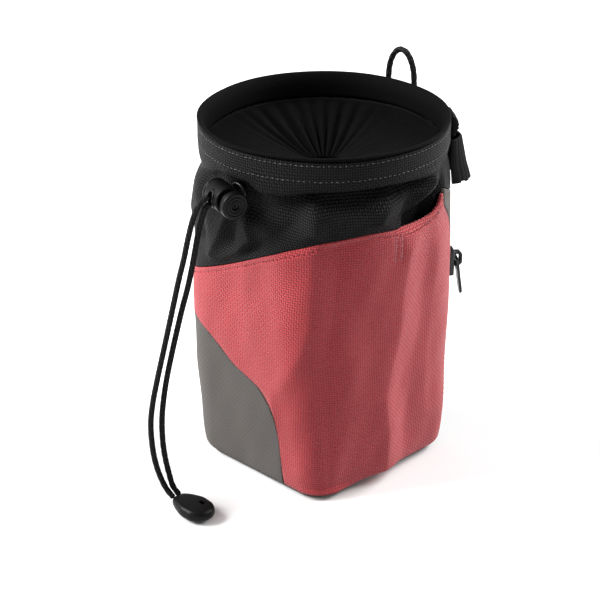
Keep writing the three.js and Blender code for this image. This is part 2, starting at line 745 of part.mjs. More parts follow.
// The closed teeth: one strip with a toothed outline on both sides.
const toothMargin = 2;
const toothCount = Math.floor((zipRun - 2 * toothMargin) / toothPitch);
const toothRoot = toothReach * 0.55;
const rightEdge = [];
for (let i = 0; i < toothCount; i += 1) {
  const start = toothMargin + i * toothPitch;
  rightEdge.push(new THREE.Vector2(toothRoot, start));
  rightEdge.push(new THREE.Vector2(toothReach, start + toothPitch * 0.2));
  rightEdge.push(new THREE.Vector2(toothReach, start + toothPitch * 0.55));
  rightEdge.push(new THREE.Vector2(toothRoot, start + toothPitch * 0.75));
}
const leftEdge = rightEdge.map((point) => new THREE.Vector2(-point.x, point.y)).reverse();
const teeth = grownOutwards(new THREE.Shape([...rightEdge, ...leftEdge]), toothProud);
addPiece('zip_teeth', teeth.translate(0, -gap / 4, 0), blackPlastic, zipGroup);

// Slider: a body that straddles the teeth, with a crown that holds the puller.
const sliderLow = sliderTop - zipLow - sliderLength;
const plateLow = toothProud + gap;
const plateHigh = plateLow + sliderPlate;
const flangeIn = toothReach + gap;
const flangeOut = sliderWidth / 2;
const sliderOutline = new THREE.Shape([
  new THREE.Vector2(-flangeOut, 0),
  new THREE.Vector2(-flangeIn, 0),
  new THREE.Vector2(-flangeIn, plateLow),
  new THREE.Vector2(flangeIn, plateLow),
  new THREE.Vector2(flangeIn, 0),
  new THREE.Vector2(flangeOut, 0),
  new THREE.Vector2(flangeOut, plateLow + sliderPlate * 0.4),
  new THREE.Vector2(flangeOut - sliderPlate * 0.6, plateHigh),
  new THREE.Vector2(sliderPlate * 0.6 - flangeOut, plateHigh),
  new THREE.Vector2(-flangeOut, plateLow + sliderPlate * 0.4),
]);
const sliderBody = new THREE.ExtrudeGeometry(sliderOutline, { depth: sliderLength, bevelEnabled: false });
sliderBody.translate(0, 0, sliderLow);

const crownLow = sliderLow + sliderLength - 2 * crownWall - crownHoleLength - 1;
const crownLength = crownHoleLength + 2 * crownWall;
const crownTop = plateHigh + crownHole + crownWall;
const crownOutline = new THREE.Shape([
  new THREE.Vector2(plateHigh - sliderPlate / 2, 0),
  new THREE.Vector2(plateHigh + crownHole, 0),
  new THREE.Vector2(crownTop, crownWall),
  new THREE.Vector2(crownTop, crownLength - crownWall),
  new THREE.Vector2(plateHigh + crownHole, crownLength),
  new THREE.Vector2(plateHigh - sliderPlate / 2, crownLength),
]);
crownOutline.holes.push(new THREE.Path([
  new THREE.Vector2(plateHigh, crownWall),
  new THREE.Vector2(plateHigh, crownWall + crownHoleLength),
  new THREE.Vector2(plateHigh + crownHole, crownWall + crownHoleLength),
  new THREE.Vector2(plateHigh + crownHole, crownWall),
]));
const crown = new THREE.ExtrudeGeometry(crownOutline, { depth: crownWidth, bevelEnabled: false });
crown.applyMatrix4(new THREE.Matrix4().makeBasis(
  new THREE.Vector3(0, 1, 0),
  new THREE.Vector3(0, 0, 1),
  new THREE.Vector3(1, 0, 0),
));
crown.translate(-crownWidth / 2, 0, crownLow);
addPiece('zip_slider', joined(sliderBody, crown), blackMetal, zipGroup);

// Puller: a plate with a window whose top bar passes under the crown and turns there.
const pullerGroup = new THREE.Group();
pullerGroup.position.set(0, plateHigh + crownHole / 2, crownLow + crownWall + crownHoleLength / 2);
pullerGroup.rotation.x = toRadians(pullerTilt);
zipGroup.add(pullerGroup);
const windowWidth = crownWidth + 2 * gap;
const barHalf = pullerWall / 2;
const windowLength = Math.hypot(crownLength / 2, crownTop - plateHigh - crownHole / 2) + gap;
const tongueHalf = pullerWidth * 0.42;
const pullerOutline = new THREE.Shape([
  new THREE.Vector2(-pullerWidth / 2, barHalf),
  new THREE.Vector2(-pullerWidth / 2, -windowLength - barHalf),
  new THREE.Vector2(-tongueHalf, -windowLength - pullerWidth / 2),
  new THREE.Vector2(-tongueHalf, tongueHalf - pullerLength),
  new THREE.Vector2(-tongueHalf / 2, -pullerLength),
  new THREE.Vector2(tongueHalf / 2, -pullerLength),
  new THREE.Vector2(tongueHalf, tongueHalf - pullerLength),
  new THREE.Vector2(tongueHalf, -windowLength - pullerWidth / 2),
  new THREE.Vector2(pullerWidth / 2, -windowLength - barHalf),
  new THREE.Vector2(pullerWidth / 2, barHalf),
]);
pullerOutline.holes.push(new THREE.Path([
  new THREE.Vector2(-windowWidth / 2, -barHalf),
  new THREE.Vector2(windowWidth / 2, -barHalf),
  new THREE.Vector2(windowWidth / 2, -windowLength),
  new THREE.Vector2(-windowWidth / 2, -windowLength),
]));
const puller = grownOutwards(pullerOutline, pullerWall).translate(0, -barHalf, 0);
addPiece('zip_puller', puller, blackMetal, pullerGroup);

// A point that stands off the bag's outside, whichever of the band and the body reaches further.
function proudPoint(turn, z, proud) {
  const body = bodyPoint(turn, Math.min(z, bodyTop), 0);
  const reach = Math.max(mouthRadius, Math.hypot(body.x, body.y)) + gap + proud;
  const angle = toRadians(turn);
  return new THREE.Vector3(reach * Math.cos(angle), reach * Math.sin(angle), z);
}

// Brush loop: a ribbed elastic sleeve that bulges away from the bag and flares downwards.
const brushTop = bodyTop + brushOverlap;
const brushColumns = 16;
const brushTurns = [];
for (let i = 0; i <= brushColumns; i += 1) {
  brushTurns.push(brushTurn - brushSpan / 2 + (brushSpan * i) / brushColumns);
}
const brushProud = (turn, share) => {
  const across = (turn - brushTurn) / brushSpan + 0.5;
  const proud = mix(brushProudLow, brushProudTop, share) - gap - brushWall;
  const rib = Math.round(across * brushColumns) % 2 === 1 ? brushRib : 0;
  return proud * Math.sin(Math.PI * across) ** 0.7 + rib;
};
addPiece('brush_loop', sheetSolid(
  brushTurns,
  () => brushTop - brushLength,
  () => brushTop,
  [0, 0.5, 1],
  (turn, z, share) => proudPoint(turn, z, brushProud(turn, share) + brushWall),
  (turn, z, share) => proudPoint(turn, z, brushProud(turn, share)),
), blackWebbing);

// Rim tab: a folded tab sewn to the band above the brush loop.
const tabTurns = [-0.5, -0.25, 0, 0.25, 0.5].map((side) => brushTurn + side * tabSpan);
const tabBulge = (share) => tabProud * Math.sin(Math.PI * Math.min(share * 1.1, 1)) ** 0.6;
addPiece('rim_tab', sheetSolid(
  tabTurns,
  () => brushTop + gap,
  () => bandTop,
  [0, 0.25, 0.5, 0.75, 1],
  (turn, z, share) => proudPoint(turn, z, brushWall + tabBulge(share)),
  (turn, z) => proudPoint(turn, z, 0),
), blackWebbing);

// A round cord swept along a curve.
function cordAlong(path, diameter, steps) {
  const section = new THREE.Shape();
  for (let i = 0; i < cordSides; i += 1) {
    const angle = ((i + 0.5) * 2 * Math.PI) / cordSides;
    const point = [(diameter / 2) * Math.cos(angle), (diameter / 2) * Math.sin(angle)];
    if (i === 0) section.moveTo(...point);
    else section.lineTo(...point);
  }
  return new THREE.ExtrudeGeometry(section, { steps, extrudePath: path, bevelEnabled: false });
}

// Hanging loop: a bent cord whose two ends lie on the outside of the rim band.
const hangReach = mouthRadius + gap + hangCord / 2;
const hangPoints = [new THREE.Vector3(-hangSpan / 2, 0, height - hangDrop)];
const hangArcSteps = 10;
for (let i = 0; i <= hangArcSteps; i += 1) {
  const angle = (Math.PI * i) / hangArcSteps;
  hangPoints.push(new THREE.Vector3(
    (-hangSpan / 2) * Math.cos(angle),
    0,
    height + hangRise * Math.sin(angle),
  ));
}
hangPoints.push(new THREE.Vector3(hangSpan / 2, 0, height - hangDrop));
const hangLoop = addPiece(
  'hang_loop',
  cordAlong(new THREE.CatmullRomCurve3(hangPoints), hangCord, 22),
  blackCord,
);
hangLoop.position.set(hangReach * Math.cos(toRadians(hangTurn)), hangReach * Math.sin(toRadians(hangTurn)), 0);
hangLoop.rotation.z = toRadians(hangTurn - 90);

// Draw cord: two strands from the cord lock to the end piece.
function strand(route) {
  const points = route.map((place) => new THREE.Vector3(...place));
  return cordAlong(new THREE.CatmullRomCurve3(points), cordDiameter, cordSteps);
}
addPiece('draw_cord_left', strand(STRAND_LEFT), blackCord);
addPiece('draw_cord_right', strand(STRAND_RIGHT), blackCord);

// End piece: an egg-shaped clip that lies on the floor and closes over both strands.
const endProfile = [new THREE.Vector2(0, 0)];
for (const { along, wide } of END_OUTLINE) {
  endProfile.push(new THREE.Vector2((wide * endWidth) / 2, along * endLength));
}
endProfile.push(new THREE.Vector2(0, endLength));
const endShape = new THREE.LatheGeometry(endProfile, 14).rotateY(Math.PI / 14).rotateZ(-Math.PI / 2);
endShape.translate(-endLength / 2, 0, 0).scale(1, 1, endHeight / endWidth);
endShape.computeBoundingBox();
endShape.translate(0, 0, -endShape.boundingBox.min.z);
const cordEnd = addPiece('cord_end', endShape, blackPlastic);
cordEnd.position.set(endPlace.x, endPlace.y, 0);
cordEnd.rotation.z = toRadians(endHeading);

export default bag;
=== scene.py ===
import math

import bpy
import numpy as np
from mathutils import Matrix, Vector


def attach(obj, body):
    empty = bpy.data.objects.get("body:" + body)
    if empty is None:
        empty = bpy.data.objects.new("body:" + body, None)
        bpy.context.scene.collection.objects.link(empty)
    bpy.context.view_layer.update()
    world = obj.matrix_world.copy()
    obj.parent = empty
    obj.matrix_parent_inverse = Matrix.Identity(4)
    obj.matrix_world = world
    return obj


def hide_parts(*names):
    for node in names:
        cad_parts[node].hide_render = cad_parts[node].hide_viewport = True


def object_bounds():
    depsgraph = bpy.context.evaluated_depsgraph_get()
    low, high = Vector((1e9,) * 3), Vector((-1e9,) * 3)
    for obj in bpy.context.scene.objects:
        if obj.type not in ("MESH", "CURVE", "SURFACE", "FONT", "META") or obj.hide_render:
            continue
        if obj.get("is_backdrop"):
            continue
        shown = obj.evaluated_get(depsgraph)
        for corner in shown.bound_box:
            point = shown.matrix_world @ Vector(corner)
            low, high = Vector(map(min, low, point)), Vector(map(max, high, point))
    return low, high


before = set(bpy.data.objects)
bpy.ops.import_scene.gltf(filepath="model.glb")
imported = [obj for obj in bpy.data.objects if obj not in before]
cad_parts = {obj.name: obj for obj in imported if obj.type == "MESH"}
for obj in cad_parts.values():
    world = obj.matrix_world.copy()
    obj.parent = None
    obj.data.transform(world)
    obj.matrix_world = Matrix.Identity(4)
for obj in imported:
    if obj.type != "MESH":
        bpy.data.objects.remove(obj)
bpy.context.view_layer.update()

# Camera: it stands off the front corner, above the rim, with a long lens, and looks down on
# the whole bag and the cord that hangs beside it.
CAMERA_PLACE = Vector((0.63171, -0.64518, 0.50821))
CAMERA_AIM = Vector((-0.00784, -0.00786, 0.07833))
camera = bpy.data.objects.new("camera", bpy.data.cameras.new("camera"))
camera.data.lens = 125.6
camera.location = CAMERA_PLACE
camera.rotation_euler = (CAMERA_AIM - CAMERA_PLACE).to_track_quat("-Z", "Y").to_euler()
bpy.context.scene.collection.objects.link(camera)
bpy.context.scene.camera = camera


# Draw cord: two braided polyester strands of 2.8 mm that hang from the cord lock
# and end in the clip on the floor. Each is a swept tube with the braid in its surface.
class Wire:
    """A socket of a material's node tree that works in sums like a number."""

    def __init__(self, tree, socket=None):
        self.tree = tree
        self.socket = socket

    def node(self, kind, settings=None, inputs=None, output=0):
        """Adds a node: its settings first, then its inputs. Gives one of its outputs."""
        made = self.tree.nodes.new(kind)
        for name, value in (settings or {}).items():
            setattr(made, name, value)
        for name, value in (inputs or {}).items():
            if isinstance(value, Wire):
                self.tree.links.new(value.socket, made.inputs[name])
            else:
                made.inputs[name].default_value = value
        return Wire(self.tree, made.outputs[output] if len(made.outputs) else None)

    def sum_with(self, operation, first, second=0.0, clamped=False):
        settings = {"operation": operation, "use_clamp": clamped}
        return self.node("ShaderNodeMath", settings, {0: first, 1: second})

    def __add__(self, other):
        return self.sum_with("ADD", self, other)

    def __radd__(self, other):
        return self.sum_with("ADD", other, self)

    def __sub__(self, other):
        return self.sum_with("SUBTRACT", self, other)

    def __rsub__(self, other):
        return self.sum_with("SUBTRACT", other, self)

    def __mul__(self, other):
        return self.sum_with("MULTIPLY", self, other)

    def __rmul__(self, other):
        return self.sum_with("MULTIPLY", other, self)

    def sine(self):
        return self.sum_with("SINE", self)

    def size(self):
        return self.sum_with("ABSOLUTE", self)

    def clamped(self):
        return self.sum_with("ADD", self, 0.0, True)

    def blend(self, low, high):
        """A colour between two, by this value."""
        inputs = {0: self, 6: (*low, 1), 7: (*high, 1)}
        return self.node("ShaderNodeMix", {"data_type": "RGBA"}, inputs, 2)


def new_finish(name):
    """A material with an empty node tree, and the start of its sums."""
    finish = bpy.data.materials.new(name)
    finish.use_nodes = True
    finish.node_tree.nodes.clear()
    return finish, Wire(finish.node_tree)


def close_finish(start, inputs):
    """Ends a material with its surface shader and what feeds it."""
    shader = start.node("ShaderNodeBsdfPrincipled", None, inputs)
    start.node("ShaderNodeOutputMaterial", None, {"Surface": shader})


def object_place(start):
    return start.node("ShaderNodeTexCoord", None, None, 3)


def noise(start, scale, detail=2.0):
    inputs = {"Vector": object_place(start), "Scale": scale, "Detail": detail}
    return start.node("ShaderNodeTexNoise", None, inputs)


def bump(start, height, distance):
    return start.node("ShaderNodeBump", None, {"Height": height, "Distance": distance})


def threads(start):
    """The two lengths along a cloth's surface, in metres."""
    place = start.node("ShaderNodeUVMap", {"uv_map": "threads"})
    across = place.node("ShaderNodeSeparateXYZ", None, {0: place})
    along = place.node("ShaderNodeSeparateXYZ", None, {0: place}, 1)
    return across, along


def grid_piece(name, points, lengths, finish, closed=(False, False), body="bag"):
    """A mesh from a grid of points. closed says whether its columns and its rows run round."""
    columns, rows = points.shape[:2]
    count = [columns if closed[0] else columns - 1, rows if closed[1] else rows - 1]
    i, j = np.meshgrid(np.arange(count[0]), np.arange(count[1]), indexing="ij")
    i2, j2 = (i + 1) % columns, (j + 1) % rows
    faces = np.stack([i * rows + j, i2 * rows + j, i2 * rows + j2, i * rows + j2], -1).reshape(-1, 4)
    mesh = bpy.data.meshes.new(name)
    mesh.from_pydata(points.reshape(-1, 3).tolist(), [], faces.tolist())
    flat = lengths.reshape(-1, 2)
    layer = mesh.uv_layers.new(name="threads")
    layer.data.foreach_set("uv", flat[faces.reshape(-1)].astype(np.float32).reshape(-1))
    mesh.polygons.foreach_set("use_smooth", [True] * len(mesh.polygons))
    mesh.materials.append(finish)
    piece = bpy.data.objects.new(name, mesh)
    bpy.context.scene.collection.objects.link(piece)
    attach(piece, body)
    return piece


def smooth_path(route, step):
    """Points at an even spacing on the centripetal curve through a route."""
    route = np.array(route, float)
    before = 2 * route[0] - route[1]
    after = 2 * route[-1] - route[-2]
    knots = np.vstack([before, route, after])
    found = []
    for a, b, c, d in zip(knots, knots[1:], knots[2:], knots[3:]):
        t = np.cumsum([0] + [np.linalg.norm(q - p) ** 0.5 for p, q in ((a, b), (b, c), (c, d))])
        for s in np.linspace(t[1], t[2], 24, endpoint=False):
            ab = a + (b - a) * (s - t[0]) / (t[1] - t[0])
            bc = b + (c - b) * (s - t[1]) / (t[2] - t[1])
            cd = c + (d - c) * (s - t[2]) / (t[3] - t[2])
            left = ab + (bc - ab) * (s - t[0]) / (t[2] - t[0])
            right = bc + (cd - bc) * (s - t[1]) / (t[3] - t[1])
            found.append(left + (right - left) * (s - t[1]) / (t[2] - t[1]))
    found.append(route[-1])
    found = np.array(found)
    run = np.concatenate([[0], np.cumsum(np.linalg.norm(np.diff(found, axis=0), axis=1))])
    places = np.linspace(0, run[-1], max(int(run[-1] / step), 2))
    return np.stack([np.interp(places, run, found[:, k]) for k in range(3)], -1), places


CORD_DIAMETER = 0.0028
BRAID_LAY = 0.0042
BRAID_STRANDS = 4


def braided(name, route, diameter, finish, strands=BRAID_STRANDS, lay=BRAID_LAY, relief=0.14,
            sides_round=24):
    """A round braided cord along a route, with crossing strands in its surface and rounded ends.
    Gives the piece, the points of its path and its length."""
    path, run = smooth_path(route, diameter * 3 / sides_round)
    tangents = np.gradient(path, axis=0)
    tangents /= np.linalg.norm(tangents, axis=1)[:, None]
    side = np.cross(tangents[0], (0.3, 0.9, 0.2))
    sides = []
    for tangent in tangents:
        side = side - tangent * np.dot(side, tangent)
        side /= np.linalg.norm(side)
        sides.append(side)
    sides = np.array(sides)
    ups = np.cross(tangents, sides)
    angle = np.linspace(0, 2 * math.pi, sides_round, endpoint=False)
    turn = 2 * math.pi * run[:, None] / lay
    crossing = np.maximum(np.cos(strands * angle + turn), np.cos(strands * angle - turn))
    radius = diameter / 2 * (1 - relief + relief * crossing)
    fade = np.minimum(np.minimum(run, run[-1] - run) / (diameter / 3), 1)[:, None]
    radius = radius * np.sqrt(1 - (1 - fade) ** 2 * 0.999)
    ring = sides[:, None] * np.cos(angle)[None, :, None] + ups[:, None] * np.sin(angle)[None, :, None]
    points = path[:, None] + ring * radius[..., None]
    lengths = np.stack(np.broadcast_arrays(run[:, None], angle * diameter / 2), -1)
    return grid_piece(name, points, lengths, finish, (False, True)), path, run[-1]


cord_finish, start = new_finish("braided_cord")
along, around = threads(start)
lay_wave = along * (2 * math.pi / BRAID_LAY)
round_wave = around * (BRAID_STRANDS / (CORD_DIAMETER / 2))
lean_one = (lay_wave + round_wave).sine()
lean_two = (lay_wave - round_wave).sine()
strand = lean_one.sum_with("MAXIMUM", lean_one, lean_two)
fuzz = noise(start, 900.0, 3.0)
wear = noise(start, 60.0)
# Painted shade: the colour is darker between the braid's strands; fuzz and wear add the cord's own random
# uneven tone.
tone_and_hollow_shade = strand * 0.5 + fuzz * 0.6 + wear * 0.3 - 0.25
close_finish(start, {
    "Base Color": tone_and_hollow_shade.clamped().blend((0.0008, 0.0008, 0.0009), (0.012, 0.012, 0.0125)),
    "Roughness": 0.5 + fuzz * 0.2,
    "Sheen Weight": 0.01,
    "Specular IOR Level": 0.12,
    "Normal": bump(start, fuzz, 0.0002),
})

# Where each strand runs, from the lock, in front of the panels, to the clip on the floor.
LEFT_ROUTE = [
    (-0.0045, -0.0678, 0.1508), (-0.0056, -0.0705, 0.1492), (-0.0076, -0.0726, 0.1452),
    (-0.0092, -0.074, 0.1395), (-0.0108, -0.0756, 0.1305), (-0.012, -0.0774, 0.1205),
    (-0.013, -0.0796, 0.1115), (-0.014, -0.0824, 0.0995), (-0.015, -0.085, 0.088),
    (-0.016, -0.088, 0.0755), (-0.017, -0.091, 0.063), (-0.0179, -0.0934, 0.0515),
    (-0.018, -0.095, 0.0415), (-0.017, -0.0956, 0.0315), (-0.0156, -0.0954, 0.023),
    (-0.0136, -0.0944, 0.015), (-0.0108, -0.093, 0.0084), (-0.0068, -0.092, 0.0046),
]
RIGHT_ROUTE = [
    (-0.0045, -0.0678, 0.1472), (-0.0052, -0.07, 0.145), (-0.0066, -0.071, 0.14),
    (-0.0078, -0.072, 0.1335), (-0.0088, -0.0734, 0.1245), (-0.0096, -0.075, 0.1155),
    (-0.0106, -0.077, 0.106), (-0.0118, -0.0794, 0.0965), (-0.013, -0.0818, 0.086),
    (-0.014, -0.0842, 0.0755), (-0.0149, -0.0868, 0.064), (-0.0155, -0.0888, 0.053),
    (-0.0156, -0.0902, 0.0425), (-0.0149, -0.0908, 0.032), (-0.0139, -0.0906, 0.0235),
    (-0.0123, -0.09, 0.0155), (-0.0104, -0.0892, 0.0084), (-0.0068, -0.0884, 0.0046),
]
left_cord, left_path, left_length = braided(
    "draw_cord_left_braid", LEFT_ROUTE, CORD_DIAMETER, cord_finish)
right_cord, right_path, right_length = braided(
    "draw_cord_right_braid", RIGHT_ROUTE, CORD_DIAMETER, cord_finish)
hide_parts("draw_cord_left")
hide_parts("draw_cord_right")


# Cord end: a moulded clip of two shells that closes over both strands, with a small
# window in its flat top. It lies on the floor.
plastic_finish, start = new_finish("black_plastic")
grain = noise(start, 1800.0, 3.0)
scuffs = noise(start, 140.0, 4.0)
close_finish(start, {
    "Base Color": scuffs.blend((0.001, 0.001, 0.0011), (0.0042, 0.0042, 0.0045)),
    "Roughness": 0.3 + scuffs * 0.2,
    "Specular IOR Level": 0.12,
    "Normal": bump(start, grain, 0.00006),
})

END_LENGTH = 0.0225
END_WIDEST = 0.0077
END_PLACE = (0.0056, -0.0906, 0.0041)
END_HEADING = math.radians(-3)
END_LID = 0.0069
WINDOW_SIZE = (0.0032, 0.0018, 0.004)
WINDOW_PLACE = (0.0086, -0.0884, 0.0072)
# The clip's half width along its length, as shares of its widest.
END_HALF = [(0, 0.5), (0.1, 0.66), (0.28, 0.86), (0.5, 1), (0.7, 0.97), (0.86, 0.76), (0.96, 0.42), (1, 0.02)]


def hermite(rows, values):
    """A smooth curve through rows of two numbers that never overshoots them."""
    x, y = np.array(rows, float).T
    rise = np.diff(y) / np.diff(x)
    left, right = rise[:-1], rise[1:]
    same = left * right > 0
    inner = np.where(same, 2 * left * right / np.where(same, left + right, 1), 0)
    slope = np.concatenate([rise[:1], inner, rise[-1:]])
    at = np.clip(values, x[0], x[-1])
    i = np.clip(np.searchsorted(x, at, side="right") - 1, 0, len(x) - 2)
    step = x[i + 1] - x[i]
    t = (at - x[i]) / step
    begin = (2 * t**3 - 3 * t**2 + 1) * y[i] + (t**3 - 2 * t**2 + t) * step * slope[i]
    end = (3 * t**2 - 2 * t**3) * y[i + 1] + (t**3 - t**2) * step * slope[i + 1]
    return begin + end


def cut_away(piece, size, place, heading=0.0, corner=0.0):
    """Cuts a box-shaped hole, its corners rounded where asked, right through a piece."""
    bpy.ops.mesh.primitive_cube_add(size=1)
    tool = bpy.context.object
    tool.data.transform(Matrix.Diagonal((*size, 1)))
    tool.location = place
    tool.rotation_euler = (0, 0, heading)
    if corner:
        rounding = tool.modifiers.new("corners", "BEVEL")
        rounding.width = corner
        rounding.segments = 6
    bpy.context.view_layer.update()
    cutter = piece.modifiers.new("hole", "BOOLEAN")
    cutter.object = tool
    cutter.solver = "EXACT"
    evaluated = piece.evaluated_get(bpy.context.evaluated_depsgraph_get())
    piece.data = bpy.data.meshes.new_from_object(evaluated)
    piece.modifiers.clear()
    bpy.data.objects.remove(tool)


def boxy(wave, power):
    """A sine or cosine with its flanks pushed out, which turns a circle towards a box."""
    return np.sign(wave) * np.abs(wave) ** power


end_along = np.concatenate([[0, 0, 0.004], np.linspace(0.01, 0.99, 60), [1]])
end_round = np.linspace(0, 2 * math.pi, 72, endpoint=False)
half_width = hermite(END_HALF, end_along) * END_WIDEST
half_width[0] = 0.0002
half_width[1:3] = END_WIDEST * 0.47
half_height = half_width * 0.54
y = boxy(np.cos(end_round), 0.8)
z = boxy(np.sin(end_round), 0.8)
top = END_PLACE[2] + half_height[:, None] * z
top = np.where(top > END_LID, END_LID + (top - END_LID) * 0.25, top)
groove = np.exp(-(((z[None, :] - 0.08) / 0.09) ** 2)) * 0.00022
wide = (half_width[:, None] - groove) * y
local_x = (end_along - 0.5)[:, None] * END_LENGTH + 0 * wide
points = np.stack([
    END_PLACE[0] + local_x * math.cos(END_HEADING) - wide * math.sin(END_HEADING),
    END_PLACE[1] + local_x * math.sin(END_HEADING) + wide * math.cos(END_HEADING),
    np.maximum(top, 0.0001),
], -1)
lengths = np.stack([local_x, wide], -1)
clip = grid_piece("cord_end_clip", points, lengths, plastic_finish, (False, True))
cut_away(clip, WINDOW_SIZE, WINDOW_PLACE, END_HEADING)
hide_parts("cord_end")


# Floor and light: a plain white floor under the bag, an even white surround, and two broad
# soft lights, one at each side.
floor_finish, start = new_finish("floor")
close_finish(start, {
    "Base Color": noise(start, 30.0).blend((0.77, 0.77, 0.77), (0.8, 0.8, 0.8)),
    "Roughness": 0.75,
    "Specular IOR Level": 0.2,
})
bpy.ops.mesh.primitive_plane_add(size=14)
floor = bpy.context.object
floor.name = "floor"
floor.visible_diffuse = False
floor.data.materials.append(floor_finish)
floor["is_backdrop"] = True

world = bpy.data.worlds.new("studio")
world.use_nodes = True
world.node_tree.nodes["Background"].inputs["Color"].default_value = (1, 1, 1, 1)
world.node_tree.nodes["Background"].inputs["Strength"].default_value = 0.46
bpy.context.scene.world = world
bpy.context.scene.view_settings.view_transform = "Standard"


def far_light(name, azimuth, elevation, strength, spread):
    """A broad light so far away that it falls evenly on the floor."""
    light = bpy.data.objects.new(name, bpy.data.lights.new(name, "SUN"))
    light.data.energy = strength
    light.data.angle = math.radians(spread)
    a, e = math.radians(azimuth), math.radians(elevation)
    towards = Vector((math.cos(a) * math.cos(e), math.sin(a) * math.cos(e), math.sin(e)))
    light.rotation_euler = towards.to_track_quat("Z", "Y").to_euler()
    bpy.context.scene.collection.objects.link(light)


far_light("left_light", -136, 36, 6.2, 34)
far_light("right_light", 70, 36, 4.7, 34)


# Rim band: two layers of black coated Oxford cloth over a stiff hoop, 15.5 mm high,
# with two rows of pale stitches round it.
def cloth(name, low, high, pitch, relief, sheen=0.0, rough=0.6, gloss=0.3):
    """A plain weave of the given thread pitch. Its colour has painted shade, lighter on the thread crowns and
    darker between the threads, and a random uneven tone.
    """
    finish, start = new_finish(name)
    across, along = threads(start)
    warp = (across * (math.pi / pitch)).sine()
    weft = (along * (math.pi / pitch)).sine()
    over = (warp * weft * 3.0 + 0.5).clamped()
    rise = warp.size() * over + weft.size() * (1.0 - over)
    slub = noise(start, 420.0, 3.0)
    mottle = noise(start, 38.0, 3.0)
    # Painted shade: the colour follows the thread height, darker in the hollows between threads; slub and
    # mottle are the cloth's own uneven tone.
    tone_and_hollow_shade = rise * 0.85 + slub * 0.2 + mottle * 0.2 - 0.27
    close_finish(start, {
        "Base Color": tone_and_hollow_shade.clamped().blend(low, high),
        "Roughness": rough + 0.15 * slub,
        "Sheen Weight": sheen,
        "Sheen Roughness": 0.4,
        "Specular IOR Level": gloss,
        "Normal": bump(start, rise + slub * 0.12, relief),
    })
    return finish


CLOTH_PITCH = 0.0012
black_cloth = cloth("black_cloth", (0.0003, 0.0003, 0.0004), (0.03, 0.0303, 0.0305), CLOTH_PITCH,
                    relief=0.0006, rough=0.46, gloss=0.05)
MOUTH_RADIUS = 0.058
BAND_FACE = 0.05818
DROP_START = 0.1665
DROP_FADE = 0.009
SEAM_TURN = -149


def full_turn(count):
    """Turns round the bag in degrees, from the upright seam at the left."""
    return np.linspace(SEAM_TURN, SEAM_TURN + 360, count, endpoint=False)


def band_sway(angle):
    """How far the sewn band wanders in and out at each angle round the mouth."""
    return 0.00025 * np.sin(angle * 3 + 1) + 0.00015 * np.sin(angle * 7)


band_angles = np.radians(full_turn(480))


def turned_cloth(name, profile, finish, drop=0.0):
    """A cloth band round the mouth from a closed list of radius and height, gently uneven.
    drop is how far its lower edge hangs down at each turn."""
    profile = np.array(profile, float)
    radius = profile[None, :, 0] + band_sway(band_angles)[:, None]
    points = np.empty((len(band_angles), len(profile), 3))
    points[..., 0] = np.cos(band_angles)[:, None] * radius
    points[..., 1] = np.sin(band_angles)[:, None] * radius
    hanging = np.clip((DROP_START - profile[None, :, 1]) / DROP_FADE, 0, 1)
    points[..., 2] = profile[None, :, 1] - hanging * np.reshape(drop, (-1, 1))
    run = np.concatenate([[0], np.cumsum(np.linalg.norm(np.diff(profile, axis=0), axis=1))])
    lengths = np.stack(np.broadcast_arrays(band_angles[:, None] * MOUTH_RADIUS, run[None, :]), -1)
    return grid_piece(name, points, lengths, finish, (True, True))


def softened(profile, times):
    """Cuts the corners of a closed outline again and again, which rounds them."""
    points = np.array(profile, float)
    for _ in range(times):
        following = np.roll(points, -1, axis=0)
        near, far = points * 0.75 + following * 0.25, points * 0.25 + following * 0.75
        points = np.stack([near, far], 1).reshape(-1, 2)
    return points


# Where the lower edge hangs: turn and how far.
BAND_DROP = [
    (-150, 0.0030), (-138, 0.0054), (-120, 0.0058), (-108, 0.0036), (-100, 0.0004), (-83, 0.0004),
    (-75, 0.0040), (-64, 0.0036), (-48, 0.0008), (-20, 0.0002), (-2, 0.0010), (12, 0.0028),
    (26, 0.0020), (40, 0.0004), (70, 0.0004), (100, 0.0020), (140, 0.0028), (175, 0.0012), (211, 0.0030),
]
band_drop = hermite(BAND_DROP, full_turn(480))
band = turned_cloth("rim_band_cloth", softened([
    (0.0558, 0.1579), (0.0564, 0.1576), (0.0576, 0.1592), (0.0581, 0.1625), (0.0582, 0.167),
    (0.0581, 0.1702), (0.0577, 0.17145), (0.0567, 0.17145), (0.0559, 0.17145), (0.0559, 0.165),
], 3), black_cloth, band_drop)
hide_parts("rim_band")

thread_finish, start = new_finish("pale_thread")
close_finish(start, {
    "Base Color": (noise(start, 300.0) * 2.0 - 0.5).clamped().blend((0.01, 0.01, 0.01), (0.17, 0.17, 0.165)),
    "Roughness": 0.6,
    "Sheen Weight": 0.05,
})


